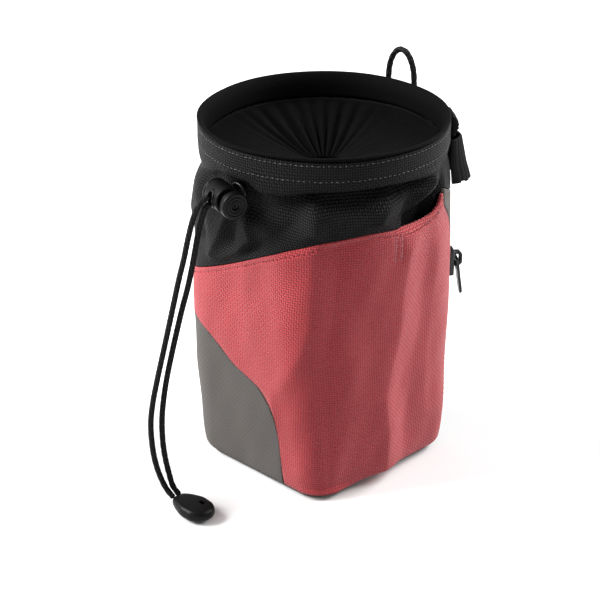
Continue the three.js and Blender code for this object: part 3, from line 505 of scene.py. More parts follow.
def stitches(name, centres, alongs, outs, length, thick, finish, slot):
    """Short threads that lie on a cloth and dive into it at both ends."""
    share = np.array([-0.5, -0.42, -0.15, 0.15, 0.42, 0.5])
    radius = np.array([0.15, 0.8, 1, 1, 0.8, 0.15]) * thick / 2
    lift = -thick * 0.9 * (2 * share) ** 4
    sides = 6
    last = sides * (len(share) - 1)
    vertices, faces = [], []
    for k, (centre, along, out) in enumerate(zip(centres, alongs, outs)):
        side = np.cross(along, out)
        along = (along + side * 0.12 * math.sin(k * 2.7)) * (0.85 + 0.2 * math.sin(k * 1.9))
        first = len(vertices)
        for t, r, up in zip(share, radius, lift):
            for a in np.linspace(0, 2 * math.pi, sides, endpoint=False):
                offset = side * (r * math.cos(a)) + out * (r * math.sin(a) + up)
                vertices.append(centre + along * t * length + offset)
        for ring in range(first, first + last, sides):
            for a in range(sides):
                b = (a + 1) % sides
                faces.append([ring + a, ring + b, ring + sides + b, ring + sides + a])
        faces.append([first + a for a in reversed(range(sides))])
        faces.append([first + last + a for a in range(sides)])
    mesh = bpy.data.meshes.new(name)
    mesh.from_pydata([v.tolist() for v in vertices], [], faces)
    mesh.polygons.foreach_set("use_smooth", [True] * len(mesh.polygons))
    mesh.materials.append(finish)
    piece = bpy.data.objects.new(name, mesh)
    bpy.context.scene.collection.objects.link(piece)
    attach(piece, "bag")


RIM_ROWS = (0.1699, 0.16255)
RIM_STITCHES = 150
# A stitch's length and its thread's thickness.
RIM_STITCH = (0.0016, 0.00032)
for row, height in enumerate(RIM_ROWS):
    at = np.linspace(0, 2 * math.pi, RIM_STITCHES, endpoint=False) + row * 0.02
    out = np.stack([np.cos(at), np.sin(at), 0 * at], -1)
    along = np.stack([-np.sin(at), np.cos(at), 0 * at], -1)
    centre = out * (BAND_FACE + band_sway(at))[:, None]
    centre[:, 2] = height + 0.0001 * np.sin(at * 40)
    stitches(f"rim_stitches_{row + 1}", centre, along, out, *RIM_STITCH, thread_finish, "black_cloth")


# Rim lining: smooth black cloth that turns over the hoop and forms the lip, then hangs inside
# as a hem of 11.5 mm.
lining_cloth = cloth("lining_cloth", (0.0006, 0.0005, 0.0005), (0.0036, 0.0032, 0.0032), 0.0006,
                     relief=0.00008, gloss=0.04)
lining = turned_cloth("rim_lining_cloth", softened([
    (0.0535, 0.1619), (0.0549, 0.1619), (0.0554, 0.1665), (0.0554, 0.1713), (0.0560, 0.1719),
    (0.0573, 0.1718), (0.0583, 0.1722), (0.0584, 0.1730), (0.0578, 0.1735), (0.0571, 0.1735),
    (0.0564, 0.1730), (0.0556, 0.1718), (0.0548, 0.1702), (0.0541, 0.168), (0.0537, 0.165),
], 2), lining_cloth)
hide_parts("rim_lining")


# Closure skirt: black fleece sewn round inside the rim and drawn together by a cord at the neck,
# so that it falls in many fine gathers, tighter at the back left than at the right.
fleece, start = new_finish("fleece")
pile = noise(start, 1500.0, 4.0)
clumps = noise(start, 260.0, 3.0)
close_finish(start, {
    "Base Color": (pile * 0.5 + clumps * 0.5).blend((0.0004, 0.0003, 0.0003), (0.003, 0.0027, 0.0027)),
    "Roughness": 0.95,
    "Sheen Weight": 0.01,
    "Sheen Roughness": 0.5,
    "Specular IOR Level": 0.03,
    "Normal": bump(start, pile * 0.4 + clumps * 0.6, 0.0005),
})
SKIRT_TOP = 0.1615
SKIRT_DROP = 0.013
SKIRT_RADIUS = 0.0533
NECK_RADIUS = 0.0095
SKIRT_WALL = 0.0014
GATHERS = 38
GATHER_DEPTH = 0.0026
TIGHT_PART = (108, 182, 34)
# From the rim to the neck: the share of the drop, and how full the gathers are.
SKIRT_FALL = [(0, 0), (0.12, 0.12), (0.35, 0.4), (0.65, 0.7), (0.9, 0.93), (1, 1)]
SKIRT_FOLD = [(0, 0.05), (0.1, 0.45), (0.35, 0.85), (0.65, 1), (0.9, 0.8), (1, 0.6)]


def hump(value, low, high, soft):
    """One between two values, falling softly to nothing outside them."""
    rise = np.clip((value - low) / soft + 0.5, 0, 1)
    fall = np.clip((high - value) / soft + 0.5, 0, 1)
    return rise**2 * (3 - 2 * rise) * fall**2 * (3 - 2 * fall)


skirt_turns = np.linspace(0, 360, 720, endpoint=False)
across = np.linspace(0, 1, 34)
turning = np.radians(skirt_turns)[:, None]
uneven = 1.1 * np.sin(turning * 5 + 1) + 0.8 * np.sin(turning * 3 + 2)
gather = (0.5 + 0.5 * np.cos(turning * GATHERS + uneven + 0.5 * across[None, :])) ** 1.4
tight = 0.04 + 1.1 * hump(skirt_turns, *TIGHT_PART)[:, None]
slow = 0.5 + 0.5 * np.cos(turning * 11 + 0.7)
depth = GATHER_DEPTH * (0.75 * gather * tight + 0.08 * slow) * hermite(SKIRT_FOLD, across)[None, :]
fall = SKIRT_TOP - SKIRT_DROP * hermite(SKIRT_FALL, across)[None, :] - depth
reach = SKIRT_RADIUS + (NECK_RADIUS - SKIRT_RADIUS) * across[None, :] + 0 * turning
wander = np.radians(1.6) * np.sin(turning * 9) * across[None, :]
swirl = turning + wander
above = np.stack([reach * np.cos(swirl), reach * np.sin(swirl), fall], -1)
below = above[:, ::-1] - np.array([0, 0, SKIRT_WALL])
points = np.concatenate([above, below], 1)
lengths = np.concatenate([np.stack([turning * 0.03 + 0 * reach, reach], -1)] * 2, 1)
skirt = grid_piece("closure_skirt_fleece", points, lengths, fleece, (True, True))
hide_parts("closure_skirt")


# Collar: soft black Oxford cloth between the rim band and the panels. It sags in loose folds,
# is pinched by the cord lock and falls back behind the red panel at the open pocket.
BODY_TOP = 0.1579
COLLAR_TOP = 0.1604
TUCK = 0.0555
BASE_HALF_X = 0.0387
BASE_HALF_Y = 0.04215
BASE_CORNER = 0.012
CLOTH_WALL = 0.0016
DEGREE = math.radians(1) * 0.055
# The body by share of its height: how far its sides have flared to the mouth, how round its
# corners have become, and how far it leans, as a share of the mouth.
PROFILE = [
    (0, 0, 0, 0), (0.033, 0.27, 0.05, 0), (0.13, 0.42, 0.14, 0), (0.33, 0.6, 0.28, -0.017),
    (0.55, 0.75, 0.41, -0.017), (0.725, 0.81, 0.55, 0), (0.87, 0.94, 0.74, 0),
    (0.96, 1.03, 0.94, 0), (1, 1, 1, 0),
]
# The turn at which the red panel's upper edge dives under the grey one.
POCKET_POINT = 25.4
# The upper edges of the red and the grey panels: turn and share of the height.
POCKET_TOP = [
    (-149, 0.589), (-133, 0.617), (-109, 0.679), (-83, 0.751), (-70, 0.79), (-59, 0.821), (-43, 0.85),
    (-25, 0.861), (-8, 0.85), (5, 0.846), (16, 0.853), (21, 0.868), (25.4, 0.896), (26.2, 0.864),
    (30, 0.832), (34, 0.804), (38.5, 0.763), (42, 0.709), (45, 0.62),
]
BACK_TOP = [
    (26, 0.912), (35, 0.886), (48, 0.855), (70, 0.823), (100, 0.792), (130, 0.741), (160, 0.684),
    (190, 0.621), (211, 0.589),
]
# Each fold: turn and share of the height, how wide and tall it is, and how far it stands out.
FOLDS = [
    (-98, 0.93, 15, 0.06, -1), (-128, 0.93, 14, 0.05, 0.3), (-112, 0.83, 6, 0.07, 0.35),
    (-98, 0.81, 5, 0.05, -0.35), (-50, 0.93, 7, 0.09, 0.5),
    (-32, 0.95, 12, 0.05, -0.7), (-14, 0.93, 7, 0.06, 0.3), (80, 0.94, 14, 0.06, -0.6),
    (125, 0.9, 12, 0.07, 0.4), (165, 0.88, 15, 0.08, -0.6), (200, 0.8, 12, 0.1, 0.4),
]


def body_reach(turn, up, inset):
    """How far the body's wall is from the axis, and the sideways sag, moved in by inset."""
    rows = np.array(PROFILE)
    flare = hermite(rows[:, [0, 1]], up)
    round_ = hermite(rows[:, [0, 2]], up)
    lean = hermite(rows[:, [0, 3]], up) * TUCK / math.sqrt(2)
    half_x = BASE_HALF_X + (TUCK - BASE_HALF_X) * flare
    half_y = BASE_HALF_Y + (TUCK - BASE_HALF_Y) * flare
    corner = np.minimum(BASE_CORNER + (TUCK - BASE_CORNER) * round_, np.minimum(half_x, half_y))
    corner = np.maximum(corner - inset, 0.001)
    half_x = half_x - inset
    half_y = half_y - inset
    c = np.abs(np.cos(np.radians(turn)))
    s = np.abs(np.sin(np.radians(turn)))
    flat = np.minimum(half_x / np.maximum(c, 1e-9), half_y / np.maximum(s, 1e-9))
    centre_x = half_x - corner
    centre_y = half_y - corner
    b = centre_x * c + centre_y * s
    bent = b + np.sqrt(np.maximum(b * b - centre_x**2 - centre_y**2 + corner**2, 0))
    return np.where((flat * c <= centre_x) | (flat * s <= centre_y), flat, bent), lean


def body_point(turn, z, inset):
    """A place on the body's wall at a turn and a height, moved in by inset."""
    reach, lean = body_reach(turn, z / BODY_TOP, inset)
    angle = np.radians(turn)
    return np.stack([reach * np.cos(angle) + lean, reach * np.sin(angle) + lean, z + 0 * reach], -1)


def ease(value, low, high):
    """Nothing below low and one above high, with a soft rise between them."""
    t = np.clip((value - low) / (high - low), 0, 1)
    return t * t * (3 - 2 * t)


def panel_top(turn):
    """The height of the panels' upper edge under the collar."""
    return BODY_TOP * np.where(turn <= POCKET_POINT, hermite(POCKET_TOP, turn), hermite(BACK_TOP, turn))


GAPE_DEPTH = 0.009
GAPE_LEFT = (-8, 5)
GAPE_RIGHT = (18, 28)
FOLD_DEPTH = 0.003


def gape(turn, z):
    """How far the collar falls back at the open pocket."""
    edge = BODY_TOP * hermite(POCKET_TOP, np.minimum(turn, POCKET_POINT))
    open_part = ease(turn, *GAPE_LEFT) * (1 - ease(turn, *GAPE_RIGHT))
    return GAPE_DEPTH * open_part * (1 - ease(z, edge, edge + 0.015)) * ease(z, edge - 0.074, edge - 0.014)


def creases(rows, turn, z):
    """Folds that follow a route of turns and heights, each with a width to its left and to its
    right, and the height of its ridge or the depth of its hollow."""
    out = np.zeros(np.broadcast(turn, z).shape)
    for route, left, right, stand in rows:
        nearest = np.full(out.shape, 100.0)
        for (a, low), (b, high) in zip(route, route[1:]):
            run = np.array([(b - a) * DEGREE, high - low])
            x, y = (turn - a) * DEGREE, z - low
            t = np.clip((x * run[0] + y * run[1]) / (run @ run), 0, 1)
            off_x, off_y = x - t * run[0], y - t * run[1]
            far = np.hypot(off_x, off_y)
            upwards = run[1] > 0 or (run[1] == 0 and run[0] < 0)
            aside = (off_x * run[1] - off_y * run[0]) * (1 if upwards else -1)
            side = aside / (np.hypot(*run) * far + 1e-9)
            width = left + (right - left) * (0.5 + 0.5 * side)
            nearest = np.minimum(nearest, far / width)
        out += stand * np.exp(-(nearest**1.4))
    return out


def soft_folds(turn, z):
    """The wide folds of the collar, which fade out at its seams."""
    out = np.zeros(np.broadcast(turn, z).shape)
    for middle, up, wide, tall, stand in FOLDS:
        side = (turn - middle + 180) % 360 - 180
        out += stand * np.exp(-((side / wide) ** 2) - ((z / BODY_TOP - up) / tall) ** 2)
    edge = panel_top(turn)
    return FOLD_DEPTH * out * ease(z, edge, edge + 0.007) * (1 - ease(z, BODY_TOP - 0.005, BODY_TOP))


# Each crease: its route of turns and heights, its widths to the left and to the right, and how
# far it stands out.
COLLAR_CREASES = [
    ([(-52, 0.1555), (-49.5, 0.147), (-47.5, 0.137), (-46, 0.131)], 0.0055, 0.0036, 0.0026),
    ([(-84, 0.1500), (-74, 0.1525), (-62, 0.1548), (-28, 0.1552), (2, 0.1548)], 0.0040, 0.0050, -0.0110),
    ([(-86, 0.1425), (-74, 0.1445), (-62, 0.1480)], 0.0070, 0.0050, -0.0090),
    ([(-60, 0.1405), (-72, 0.131), (-84, 0.1215)], 0.0050, 0.0040, -0.0032),
    ([(-46, 0.1515), (-28, 0.1525), (-6, 0.1515)], 0.0040, 0.0036, -0.0030),
    ([(6.7, 0.1535), (0, 0.147), (-7.9, 0.1375)], 0.0030, 0.0048, -0.0030),
    ([(-15, 0.149), (-19, 0.143), (-21, 0.137)], 0.0080, 0.0060, 0.0036),
    ([(15, 0.1515), (8, 0.146), (3, 0.139)], 0.0032, 0.0028, 0.0022),
    ([(-30, 0.149), (-36, 0.139)], 0.0050, 0.0050, -0.0010),
    ([(-99.3, 0.1355), (-104, 0.124), (-110, 0.113)], 0.0036, 0.0026, 0.0020),
    ([(-88, 0.1390), (-83.8, 0.1285), (-92, 0.120), (-106, 0.1115)], 0.0030, 0.0026, 0.0022),
    ([(-94, 0.135), (-97, 0.124)], 0.0028, 0.0028, -0.0018),
    ([(-123, 0.138), (-135, 0.127)], 0.0110, 0.0110, 0.0027),
    ([(-152, 0.1495), (-128, 0.1500), (-110, 0.1515)], 0.0040, 0.0040, -0.0026),
    ([(-115, 0.147), (-118, 0.121)], 0.0028, 0.0036, -0.0014),
    ([(-91.5, 0.149), (-91.4, 0.1491)], 0.0036, 0.0036, -0.0016),
    ([(62, 0.150), (74, 0.143), (86, 0.137)], 0.0045, 0.0040, -0.0022),
    ([(104, 0.150), (118, 0.132)], 0.0050, 0.0036, 0.0018),
    ([(146, 0.148), (158, 0.135), (170, 0.124)], 0.0050, 0.0040, -0.0022),
    ([(184, 0.142), (204, 0.115)], 0.0050, 0.0045, 0.0016),
    ([(128, 0.1548), (168, 0.1552)], 0.0036, 0.0036, -0.0020),
]


def crumple(turn, z, size):
    """A slow uneven swell, the same each time, as of cloth that has been handled."""
    a = np.radians(turn)
    swell = np.sin(a * 9 + z * 90) + np.sin(a * 5 - z * 140 + 1.3) + np.sin(a * 16 + z * 60 + 0.6)
    return size * (swell + np.sin(a * 23 - z * 210 + 2.1) * 0.6) / 3


DEEPEST = 0.0095


def collar_out(turn, z):
    """How far the folds stand out from the body, with the deepest hollows held back."""
    edge = panel_top(turn)
    fade = ease(z, edge + 0.0005, edge + 0.006) * (1 - ease(z, BODY_TOP - 0.0012, BODY_TOP + 0.001))
    out = soft_folds(turn, z) + fade * (creases(COLLAR_CREASES, turn, z) + crumple(turn, z, 0.0005))
    return np.where(out < 0, DEEPEST * np.tanh(out / DEEPEST), out)


def collar_point(turn, z, inset):
    return body_point(turn, z, inset + gape(turn, z) - collar_out(turn, z))


def double(front, back):
    """A grid that runs over the front of a cloth and returns along its back."""
    return np.concatenate([front, back[:, ::-1]], 1)


def cloth_lengths(outer, z):
    """Lengths along each row from the front corner, and up the cloth."""
    step = np.linalg.norm(np.diff(outer[..., :2], axis=0), axis=2)
    run = np.concatenate([np.zeros((1, outer.shape[1])), np.cumsum(step, axis=0)])
    return np.stack([run - run[outer.shape[0] // 3][None, :], z], -1)


collar_turns = full_turn(420)
share = np.linspace(0, 1, 64)
hidden = ease(gape(collar_turns, panel_top(collar_turns)), 0.0032, 0.0055)
low = panel_top(collar_turns) + 0.0003 - 0.0136 * hidden
z = low[:, None] + (COLLAR_TOP - low)[:, None] * share[None, :]
turn = collar_turns[:, None] + 0 * z
above = np.minimum(z, BODY_TOP)
outer = collar_point(turn, above, 0.0)
inner = collar_point(turn, above, CLOTH_WALL)
outer[..., 2] = z
inner[..., 2] = z
lengths = cloth_lengths(outer, z)
collar = grid_piece("collar_cloth", double(outer, inner), double(lengths, lengths), black_cloth,
                    (True, True))
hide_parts("collar")


# Liner: the black fleece cup that holds the chalk. Only its rim shows, through the neck. It gives
# way behind the collar's deep folds.
LINER_TOP = 0.154
LINER_OUTSIDE = 0.0048
LINER_INSIDE = 0.0066
level = np.concatenate([np.linspace(0.004, LINER_TOP, 40), np.linspace(LINER_TOP, 0.006, 30)])
inset = np.concatenate([np.full(40, LINER_OUTSIDE), np.full(30, LINER_INSIDE)])
turn = full_turn(144)[:, None] + 0 * level[None, :]
slack = 0.003 * ease(level[None, :], panel_top(turn), panel_top(turn) + 0.007)
dent = np.maximum(-collar_out(turn, level[None, :]) - 0.002, 0)
wall = body_point(turn, level[None, :], inset[None, :] + slack + dent + gape(turn, level[None, :]))
to_axis = np.array([0.001, 0.001, 1])
under = wall[:, :1] * to_axis - np.array([0, 0, 0.0012])
floor_inside = wall[:, -1:] * to_axis - np.array([0, 0, 0.0004])
points = np.concatenate([under, wall, floor_inside], 1)
cup = grid_piece("liner_fleece", points, points[..., [0, 2]], fleece, (True, False))
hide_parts("liner")


# Pocket panel: red ripstop-weight Oxford cloth round the front and the right side. Its top edge is
# a turned hem with one row of stitches, and a bar tack closes it left of the open pocket.
red_cloth = cloth("red_cloth", (0.3, 0.017, 0.025), (0.64, 0.058, 0.07), CLOTH_PITCH,
                  relief=0.0004, sheen=0.16, rough=0.5, gloss=0.42)
PANEL_FOOT = 0.0024
PANEL_START = -148.6
FRONT_SEAM = -67.0
SEAM_GAP = 0.0002
HEM_LINE = 0.0024
SEAM_ROLL = 0.0009
HEM_ROLL = 0.0005
PANEL_REACH = 0.05
HEM_STITCH = (0.0017, 0.0004)
TACK_TURNS = (-10.3, -7.0)
TACK_LOW = 0.1188
TACK_HIGH = 0.1315
TACK_STEP = 0.00052
TACK_STITCH = (0.0017, 0.0003)
CORNER_RIDGE = [
    (-1.6, 0.123), (-4.2, 0.101), (-4.6, 0.079), (-8, 0.064), (-11, 0.049), (-8, 0.030), (-6, 0.010),
    (-6, -0.010),
]
FRONT_RIDGE = [(-51, 0.140), (-51, 0.095), (-54, 0.080), (-61, 0.066), (-69, 0.054), (-73, 0.040)]
POCKET_CREASES = [
    (CORNER_RIDGE, 0.0160, 0.0140, 0.0050),
    ([(-38, 0.140), (-40, 0.100), (-42, 0.070), (-42, -0.010)], 0.0090, 0.0220, -0.0034),
    (FRONT_RIDGE, 0.0160, 0.0080, 0.0020),
    ([(16, 0.124), (13, 0.080), (10, 0.020)], 0.0090, 0.0080, -0.0008),
    ([(21.5, 0.118), (21, 0.060), (24, 0.030)], 0.0080, 0.0060, 0.0009),
    ([(-100, 0.098), (-84, 0.100)], 0.0080, 0.0080, -0.0005),
]


def rolled(away, radius=SEAM_ROLL):
    """How far a sewn edge turns in, by its distance from the edge."""
    t = np.clip(1 - away / radius, 0, 1)
    return radius * (1 - np.sqrt(np.maximum(1 - t * t, 0)))


def sheet_piece(name, outer, inner, lengths, finish):
    """A cloth from the grids of its outer and its inner face, closed along both side edges."""
    points = double(outer, inner)
    closing = (points + points[:, ::-1]) / 2
    points = np.concatenate([closing[:1], points, closing[-1:]], 0)
    lengths = double(lengths, lengths)
    lengths = np.concatenate([lengths[:1], lengths, lengths[-1:]], 0)
    return grid_piece(name, points, lengths, finish, (False, True))


def sewn_panel(name, turns, low, high, rows, out, finish, node, hem=False, edges=None, pit=None):
    """A cloth panel between two turns and two heights, with its seams rolled inwards.
    edges gives how far a place is from further edges, and pit how deep it lies under the surface."""
    arc = math.radians(1) * PANEL_REACH
    t = np.linspace(0, 1, rows)
    t = t - 0.85 * np.sin(2 * math.pi * t) / (2 * math.pi)
    bottom, top = low(turns)[:, None], high(turns)[:, None]
    z = bottom + (top - bottom) * t[None, :]
    turn = turns[:, None] + 0 * z
    slope = np.minimum(np.abs(np.gradient(top[:, 0], turns * arc)), 2.5)[:, None]
    foot = np.minimum(np.abs(np.gradient(bottom[:, 0], turns * arc)), 2.5)[:, None]
    away = np.minimum(turn - turns[0], turns[-1] - turn) * arc
    away = np.minimum(away, (z - bottom) / np.hypot(1, foot))
    away = away if edges is None else np.minimum(away, np.maximum(edges(turn, z), 0))
    upper = (top - z) / np.hypot(1, slope)
    turned_in = rolled(away) + rolled(upper, HEM_ROLL) if hem else rolled(np.minimum(away, upper))
    turned_in = turned_in if pit is None else np.maximum(turned_in, pit(turn, z))
    fade = ease(np.minimum(away, upper), 0.0, 0.004)
    outer = body_point(turn, z, turned_in - fade * out(turn, z))
    inner = body_point(turn, z, np.maximum(CLOTH_WALL, turned_in + 0.0002) - fade * out(turn, z))
    piece = sheet_piece(name, outer, inner, cloth_lengths(outer, z), finish)
    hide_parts(node)


def pocket_high(turn):
    return BODY_TOP * hermite(POCKET_TOP, turn)


# The seam between the red and the grey panel at the front: turn and share of the height.
SIDE_SEAM = [
    (-149, 0.507), (-132, 0.481), (-117.6, 0.453), (-107.8, 0.412), (-99, 0.374), (-89.7, 0.353),
    (-80.4, 0.33), (-74.5, 0.294), (-71, 0.253), (-69.2, 0.2), (-68.2, 0.11), (-67.4, 0.04),
    (FRONT_SEAM, 0.0152),
]


def seam_height(turn):
    return BODY_TOP * hermite(SIDE_SEAM, turn)


def pocket_low(turn):
    return np.where(turn < FRONT_SEAM, seam_height(turn) + SEAM_GAP, PANEL_FOOT)


def pocket_out(turn, z):
    """How far the red panel's folds stand out, with the dents of its stitches."""
    hem_line = np.exp(-(((pocket_high(turn) - z - HEM_LINE) / 0.0007) ** 2)) * (turn < 25)
    pucker = 0.6 + 0.4 * np.sin(np.radians(turn) * 120)
    tack = sum(np.exp(-(((turn - place) / 1.1) ** 2)) for place in TACK_TURNS)
    tack = tack * ease(z, 0.1175, 0.1195)
    return (creases(POCKET_CREASES, turn, z) + crumple(turn, z, 0.00035)
            - 0.0005 * hem_line * pucker - 0.0004 * tack)


sewn_panel("pocket_panel_cloth", np.linspace(PANEL_START, 44.8, 330), pocket_low, pocket_high, 110,
           pocket_out, red_cloth, "pocket_panel", hem=True)

red_thread, start = new_finish("red_thread")
close_finish(start, {
    "Base Color": (noise(start, 420.0) * 1.8 - 0.4).clamped().blend((0.07, 0.004, 0.008), (0.3, 0.03, 0.042)),
    "Roughness": 0.6,
})
tack_thread, start = new_finish("tack_thread")
close_finish(start, {
    "Base Color": (noise(start, 500.0) * 1.8 - 0.4).clamped().blend((0.4, 0.06, 0.08), (0.85, 0.36, 0.38)),
    "Roughness": 0.5,
})


def on_pocket(turn, z, lift=0.0):
    return body_point(turn, z, -pocket_out(turn, z) - lift)


def along_panel(turns, heights, lift):
    """Places, directions and outward directions of stitches on the red panel."""
    centre = on_pocket(turns, heights, lift)
    along = np.gradient(centre, axis=0)
    along /= np.linalg.norm(along, axis=1)[:, None]
    up = on_pocket(turns, heights + 0.0005, lift) - centre
    out = np.cross(along, up)
    out /= np.linalg.norm(out, axis=1)[:, None]
    return centre, along, out


hem_turns = np.linspace(-147.6, 24.2, 84)
stitches("hem_stitches", *along_panel(hem_turns, pocket_high(hem_turns) - HEM_LINE, 0.00012),
         *HEM_STITCH, red_thread, "red_cloth")

tack_heights = np.arange(TACK_LOW, TACK_HIGH, TACK_STEP)
zigzag = 0.14 * np.cos(np.arange(len(tack_heights)) * math.pi)
for row, turn_at in enumerate(TACK_TURNS):
    centre = on_pocket(turn_at + zigzag, tack_heights, 0.0001)
    beside = on_pocket(turn_at + 1.0, tack_heights) - on_pocket(turn_at, tack_heights)
    beside /= np.linalg.norm(beside, axis=1)[:, None]
    out = np.cross(beside, (0, 0, 1))
    stitches(f"bar_tack_{row + 1}", centre, beside, out, *TACK_STITCH, tack_thread, "red_cloth")


# Side panel: a grey wedge of the same cloth at the lower left, sewn to the red panel along a
# seam that falls in a long curve.
grey_cloth = cloth("grey_cloth", (0.066, 0.059, 0.054), (0.136, 0.124, 0.115), CLOTH_PITCH,
                   relief=0.0003, sheen=0.02)


def side_high(turn):
    return seam_height(turn) - SEAM_GAP


def grey_low(turn):
    return PANEL_FOOT + 0 * turn


def side_out(turn, z):
    return crumple(turn, z, 0.0003)


sewn_panel("side_panel_cloth", np.linspace(PANEL_START, FRONT_SEAM - 0.15, 150), grey_low, side_high, 64,
           side_out, grey_cloth, "side_panel")


# Back panel: grey cloth round the back and the left side, up to the collar, with a point in front
# of the red panel's tip. Its slot holds the zip, with a row of stitches along each folded edge.
ZIP_FOOT = np.array([0.0350452, 0.0465374, 0.028])
ZIP_AXES = np.array([[0.79864, -0.60182, 0], [0.60175, 0.79855, -0.0148], [0.00891, 0.01182, 0.99989]])
ZIP_RUN = 0.08
ZIP_TURN = 53
SLOT_HALF = 0.0045
SLOT_DEPTH = 0.00178
SLOT_STITCH = (0.0019, 0.00034)
SLOT_STITCH_STEP = 0.0027
SLOT_STITCH_ASIDE = 0.0022
REAR_SEAM = (45, 45.3)


def beside_zip(turn, z):
    """How far outside the zip's slot a place on the body lies; less than nothing inside it."""
    place = (body_point(turn, z, 0.0) - ZIP_FOOT) @ ZIP_AXES.T
    past_side = np.abs(place[..., 0]) - SLOT_HALF
    past_end = np.abs(place[..., 2] - ZIP_RUN / 2) - ZIP_RUN / 2
    return np.maximum(past_side, past_end)


def back_low(turn):
    under_point = pocket_high(np.minimum(turn, REAR_SEAM[0])) + 2 * SEAM_GAP
    return np.where(turn <= REAR_SEAM[0], under_point, PANEL_FOOT)


def back_high(turn):
    return BODY_TOP * hermite(BACK_TOP, turn)


def back_edges(turn, z):
    """How far a place is from the seam beside the red panel and from the slot's edges."""
    seam = np.where(z < 0.098, (turn - REAR_SEAM[1]) * DEGREE, 1)
    outside = beside_zip(turn, z)
    return np.minimum(np.where(turn <= REAR_SEAM[0], 1, seam), np.where(outside > 0, outside, 0.0001))


def zip_pit(turn, z):
    return np.where(beside_zip(turn, z) < 0, SLOT_DEPTH, 0)


BACK_CREASES = [
    ([(140, 0.118), (146, 0.090), (143, 0.050)], 0.0120, 0.0090, 0.0016),
    ([(88, 0.122), (94, 0.090), (92, 0.060)], 0.0120, 0.0120, -0.0015),
    ([(180, 0.095), (173, 0.060), (172, 0.030)], 0.0130, 0.0110, -0.0014),
    ([(118, 0.112), (113, 0.070), (116, 0.030)], 0.0110, 0.0100, 0.0011),
]


def back_out(turn, z):
    return creases(BACK_CREASES, turn, z) + crumple(turn, z, 0.0003)


back_turns = np.concatenate([
    np.linspace(26.5, REAR_SEAM[0], 30), np.linspace(REAR_SEAM[1], 47.6, 6),
    np.linspace(47.9, 58.1, 70), np.linspace(58.7, 210.6, 220),
])
sewn_panel("back_panel_cloth", back_turns, back_low, back_high, 110, back_out, grey_cloth,
           "back_panel", edges=back_edges, pit=zip_pit)

grey_thread, start = new_finish("grey_thread")
close_finish(start, {
    "Base Color": noise(start, 700.0).blend((0.1, 0.092, 0.086), (0.24, 0.22, 0.205)),
    "Roughness": 0.6,
    "Sheen Weight": 0.3,
})
heights = np.arange(0.0275, 0.109, SLOT_STITCH_STEP)
for side, name in ((-1, "zip_stitches_left"), (1, "zip_stitches_right")):
    aside = side * (SLOT_HALF + SLOT_STITCH_ASIDE)
    at = ZIP_TURN - np.degrees(aside / (np.hypot(*ZIP_FOOT[:2]) + 0.0008))
    centre = body_point(at + 0 * heights, heights, -0.0001)
    up = np.gradient(centre, axis=0)
    up /= np.linalg.norm(up, axis=1)[:, None]
    out = np.broadcast_to(ZIP_AXES[1], up.shape)
    stitches(name, centre, up, out, *SLOT_STITCH, grey_thread, "grey_cloth")


# Base: one piece of the grey cloth, square with round corners. Its edge is turned under and
# sewn in below the panels.
BASE_THICKNESS = 0.002
# The flat underside, from the middle: share of the way out, and height.
base_rows = [(0.02, 0.0003), (0.35, 0.0002), (0.7, 0.0001), (0.93, 0)]
# The turned edge: how far it stands in, and its height.
base_edge = [(0.0010, 0), (0.0003, 0.0003), (0, 0.001), (0.0003, 0.0017), (0.0012, BASE_THICKNESS)]
base_turns = full_turn(300)
rim = body_point(base_turns, 0 * base_turns, 0.0)
rings = [rim * (share, share, 0) + (0, 0, z) for share, z in base_rows]
rings += [body_point(base_turns, z + 0 * base_turns, inset) for inset, z in base_edge]
rings += [rim * (share, share, 0) + (0, 0, BASE_THICKNESS) for share, z in reversed(base_rows)]
points = np.stack(rings, 1)
base = grid_piece("base_cloth", points, points[..., :2], grey_cloth, (True, False))
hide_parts("base_panel")


# Eyelet: a ring of black metal, pressed into the collar from both sides. The draw cord comes
# out through it.
metal_finish, start = new_finish("black_metal")
wear = noise(start, 300.0, 4.0)
close_finish(start, {
    "Base Color": wear.blend((0.012, 0.012, 0.013), (0.045, 0.045, 0.047)),
    "Metallic": 0.95,
    "Roughness": 0.28 + wear * 0.2,
    "Normal": bump(start, noise(start, 1500.0), 0.00003),
})


def placed(local, origin, axes):
    """Places given along a piece's own three axes, in the shared frame."""
    return np.asarray(origin) + local @ np.asarray(axes)


def lathed(name, profile, origin, axes, finish, body="bag", sides=96):
    """A turned piece: profile holds places along the first axis and their radii."""
    along, radius = np.array(profile, float).T
    angle = np.linspace(0, 2 * math.pi, sides, endpoint=False)[:, None]
    local = np.stack(np.broadcast_arrays(along, radius * np.cos(angle), radius * np.sin(angle)), -1)
    lengths = np.stack(np.broadcast_arrays(along[None, :], angle * 0.006), -1)
    return grid_piece(name, placed(local, origin, axes), lengths, finish, (True, True), body)


EYELET_AXES = np.array([(-0.02618, -0.99966, 0), (0.99966, -0.02618, 0), (0, 0, 1)])
EYELET_PLACE = (-0.0014, -0.05346, 0.149)
eyelet = lathed("cord_eyelet_ring", softened([
    (-0.0018, 0.0035), (-0.0018, 0.0052), (0, 0.0052), (0.0006, 0.0049), (0.0008, 0.0043),
    (0.0005, 0.0037), (0, 0.0035),
], 2), EYELET_PLACE, EYELET_AXES, metal_finish, sides=60)
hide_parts("cord_eyelet")


